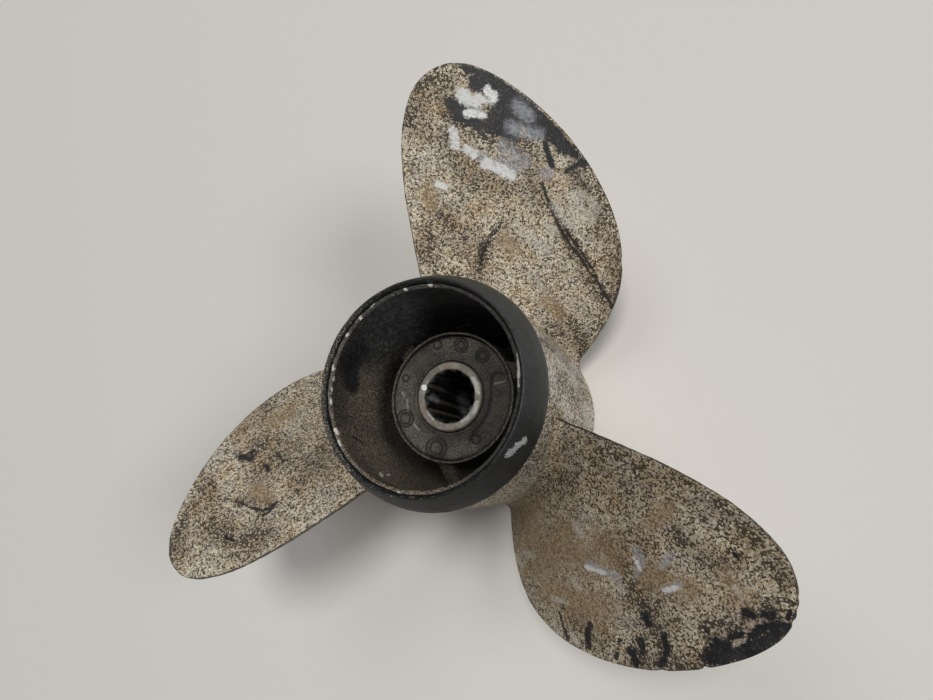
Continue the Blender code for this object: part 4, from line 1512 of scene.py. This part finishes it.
# %% List the marks on the hub
RING_MARKS = {
    "chalk": ((2.6, (508, 455), (516, 447), (525, 440)),),
    "worn": (
        (1.5, (430, 509), (455, 512), (480, 509)), (2.0, (400, 289), (408, 287)),
        (2.0, (428, 285), (432, 284)), (1.6, (334, 405), (337, 425), (344, 445)),
        (1.6, (331, 360), (337, 340), (347, 325)),
    ),
}
BARREL_MARKS = {
    "scratch": ((1.6, (540, 339), (556, 353), (570, 368), (580, 381)),),
    "chip": (
        (2.0, (360, 316), (361, 318)), (1.8, (346, 334), (347, 335)),
        (2.0, (332, 366), (333, 369)), (1.2, (331, 400), (331, 403)),
        (2.0, (335, 430), (338, 433)), (2.4, (399, 493), (400, 495)),
        (1.7, (381, 474), (382, 475)), (1.4, (388, 475), (389, 475)),
        (1.6, (405, 289), (406, 290)), (1.5, (429, 285), (431, 285)),
        (1.3, (518, 350), (519, 368), (518, 386)), (1.2, (511, 352), (512, 354)),
        (1.0, (457, 328), (470, 324)), (1.1, (334, 377), (334, 380)),
        (1.0, (332, 388), (332, 391)), (1.2, (338, 441), (340, 445)),
        (1.0, (355, 320), (357, 317)), (1.0, (371, 306), (374, 303)),
    ),
    "paint": (
        (9, (384, 330), (392, 326)), (9, (350, 362), (358, 352)), (0.9, (353, 437), (365, 444)),
        (7, (352, 385), (350, 372)),
    ),
    "bare": (
        (24, (366, 392), (370, 410)), (22, (352, 440), (395, 478)), (18, (410, 488), (440, 488)),
    ),
    "dirt": (
        (9, (566, 386), (578, 396)), (5, (581, 398), (590, 400)), (5, (552, 380), (556, 420)),
        (20, (525, 465), (545, 440), (556, 420)), (9, (552, 340), (566, 352)),
    ),
    "powder": (
        (3.5, (558, 356), (562, 366)), (4, (570, 368), (575, 382)), (4, (562, 400), (568, 416)),
        (2.5, (552, 362), (554, 398)), (4, (587, 406), (590, 424)),
    ),
    "grime": (
        (2.5, (577, 380), (583, 394)), (2, (561, 374), (566, 388)), (1.6, (582, 410), (583, 426)),
        (3, (556, 366), (560, 392), (558, 410)), (2, (571, 388), (575, 404)),
        (6, (520, 478), (540, 452)),
    ),
}
SLEEVE_MARKS = {
    # The two haze strokes are painted reflections deep in the bore.
    "haze_and_sheen": ((5, (463, 397), (466, 410)), (2.5, (432, 397), (437, 400))),
    "chalk": ((2.6, (424, 387), (424, 388)),),
    "rust": ((3.5, (446, 367), (449, 369)), (3, (424, 409), (426, 412))),
    "bright": (
        (2, (473, 378), (478, 392)), (2, (477, 402), (474, 412)), (1.6, (462, 421), (468, 418)),
        (1.5, (428, 412), (433, 418)),
    ),
}
BUSH_MARKS = {
    "chalk": (
        (0.9, (407, 400), (408, 411)), (1.0, (414, 424), (419, 430)),
        (0.7, (494, 384), (505, 381)), (0.8, (402, 392), (404, 396)),
    ),
    "dust": (
        (12, (412, 440), (425, 450)), (15, (399, 385), (402, 425)), (8, (455, 455), (470, 448)),
        (9, (440, 345), (468, 346)),
    ),
    "dirt": ((2.6, (420, 345), (428, 339), (437, 335)),),
}

# %% Put the marks on the meshes


def seen_points(piece):
    """Where the camera sees each point of the piece, and whether the point faces the camera."""
    count = len(piece.data.vertices)
    points, normals = np.empty(count * 3), np.empty(count * 3)
    piece.data.vertices.foreach_get("co", points)
    piece.data.vertex_normals.foreach_get("vector", normals)
    away = points.reshape(-1, 3) - np.array(EYE)
    depth = away @ np.array(LOOK)
    x = PHOTO_WIDTH / 2 + FOCAL_PIXELS * (away @ np.array(right)) / depth
    y = PHOTO_HEIGHT / 2 - FOCAL_PIXELS * (away @ np.array(above)) / depth
    facing = (away * normals.reshape(-1, 3)).sum(1) < 0
    return np.stack([x, y], 1), facing


def stroke_amount(spots, stroke):
    """1 on the stroke's middle, 0.5 at its width and 0 at twice its width."""
    width, *path = stroke
    nearest = np.full(len(spots), np.inf)
    for start, end in zip(path, path[1:]):
        start, run = np.array(start, float), np.subtract(end, start).astype(float)
        along = np.clip((spots - start) @ run / max(run @ run, 1e-9), 0, 1)
        nearest = np.minimum(nearest, np.hypot(*(spots - start - along[:, None] * run).T))
    return np.clip(1 - nearest / width / 2, 0, 1)


def add_marks(piece, marks):
    """Add each named set of strokes to the mask of that name."""
    spots, facing = seen_points(piece)
    for name, strokes in marks.items():
        amount = np.zeros(len(spots))
        if name in piece.data.attributes:
            piece.data.attributes[name].data.foreach_get("value", amount)
        for stroke in strokes:
            amount = np.maximum(amount, stroke_amount(spots, stroke) * facing)
        set_mask(piece, name, amount)


def push_in(piece, start, end, width):
    """Knock a dent: points near one pixel are pushed toward another pixel."""
    spots, _ = seen_points(piece)
    points = np.empty(len(spots) * 3)
    piece.data.vertices.foreach_get("co", points)
    points = points.reshape(-1, 3)
    depth = (points - np.array(EYE)) @ np.array(LOOK)
    metres = stroke_amount(spots, (width, start, start)) * depth / FOCAL_PIXELS
    shift = np.array(right) * (end[0] - start[0]) - np.array(above) * (end[1] - start[1])
    piece.data.vertices.foreach_set("co", (points + metres[:, None] * shift).ravel())
    piece.data.update()


for number, blade in blades.items():
    for dent in EDGE_DENTS.get(number, ()):
        push_in(blade, *dent)
    add_marks(blade, BLADE_MARKS[number])
# Each moulded ring and the line get a thin dark band round their feet on the rubber: painted shade
# where the raised wire meets the face.
mould_foot_shade = []
for (x, y), size in MOULDED_RINGS:
    wide = size * MOULD_PIXELS
    tall = wide * MOULD_SQUASH
    turns = np.linspace(0, math.tau, MOULD_FOOT_STEPS)
    foot = [(x + wide * math.cos(t), y + tall * math.sin(t)) for t in turns]
    mould_foot_shade.append((MOULD_FOOT_WIDTH, *foot))
mould_foot_shade.append((MOULD_LINE_WIDTH, *MOULDED_LINE))
BUSH_MARKS["dirt"] += tuple(mould_foot_shade)
hub_marks = (RING_MARKS, BARREL_MARKS, SLEEVE_MARKS, BUSH_MARKS)
for piece, marks in zip((ring, barrel, sleeve, bush), hub_marks):
    add_marks(piece, marks)
print("marks are on the meshes")

# %% [markdown]
# ## Floor and light
#
# The photograph was taken on a pale table. A wide plane gives the same even background. The light
# comes from three round area lamps, which stand for one large soft lamp overhead and two windows
# on opposite sides of it, and a faint bluish world fills the shadows. Three lamps give three
# overlapping shadows, each with a soft border.

# %% Lay the floor
FLOOR_REACH = 4.0
FLOOR_CORNERS = ((-1, -1), (1, -1), (1, 1), (-1, 1))
TABLE_WHITE = (0.80, 0.775, 0.735, 1.0)
SKY_WHITE, SKY_STRENGTH = (0.95, 0.97, 1.0, 1.0), 0.040

corners = [(x * FLOOR_REACH, y * FLOOR_REACH, FLOOR) for x, y in FLOOR_CORNERS]
floor_mesh = bpy.data.meshes.new("floor")
floor_mesh.from_pydata(corners, [], [(0, 1, 2, 3)])
floor = new_object("floor", floor_mesh)
floor_finish, _, floor_shader = new_finish("pale_table")
floor_shader.inputs["Base Color"].default_value = TABLE_WHITE
floor_shader.inputs["Roughness"].default_value = 0.85
floor_mesh.materials.append(floor_finish)
print(f"floor of {2 * FLOOR_REACH:.0f} m")

# %% Hang the lamps
world = bpy.data.worlds.new("soft_room")
world.use_nodes = True
world.node_tree.nodes["Background"].inputs["Color"].default_value = SKY_WHITE
world.node_tree.nodes["Background"].inputs["Strength"].default_value = SKY_STRENGTH
bpy.context.scene.world = world
bpy.context.scene.view_settings.view_transform = "Standard"


def hang_lamp(name, azimuth, elevation, distance, spread, power, colour):
    """A round lamp that faces the propeller. Its spread is the angle from middle to edge."""
    data = bpy.data.lights.new(name, "AREA")
    data.shape = "DISK"
    data.size = 2 * distance * math.tan(math.radians(spread))
    data.energy = power
    data.color = colour
    turn, climb = math.radians(azimuth), math.radians(elevation)
    flat = math.cos(climb)
    toward = Vector((math.cos(turn) * flat, math.sin(turn) * flat, math.sin(climb)))
    lamp = new_object(name, data)
    lamp.location = toward * distance
    lamp.rotation_euler = (-toward).to_track_quat("-Z", "Y").to_euler()
    return lamp


lamps = [
    hang_lamp("ceiling_lamp", 55.0, 74.0, 6.0, 9.0, 157.0, (1.0, 0.985, 0.96)),
    hang_lamp("near_window", 15.0, 40.0, 8.0, 12.0, 216.0, (0.98, 0.99, 1.0)),
    hang_lamp("far_window", 130.0, 60.0, 8.0, 14.0, 70.0, (0.98, 0.99, 1.0)),
]
print("lamps:", ", ".join(lamp.name for lamp in lamps))

# %% Attach every piece to the root body
SLOTS = {
    "casting": [barrel, tube, *webs.values(), *blades.values()],
    "ring": [ring],
    "bush": [bush, moulded],
    "sleeve": [sleeve],
}
for slot_name, pieces in SLOTS.items():
    for piece in pieces:
        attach(piece, "root")
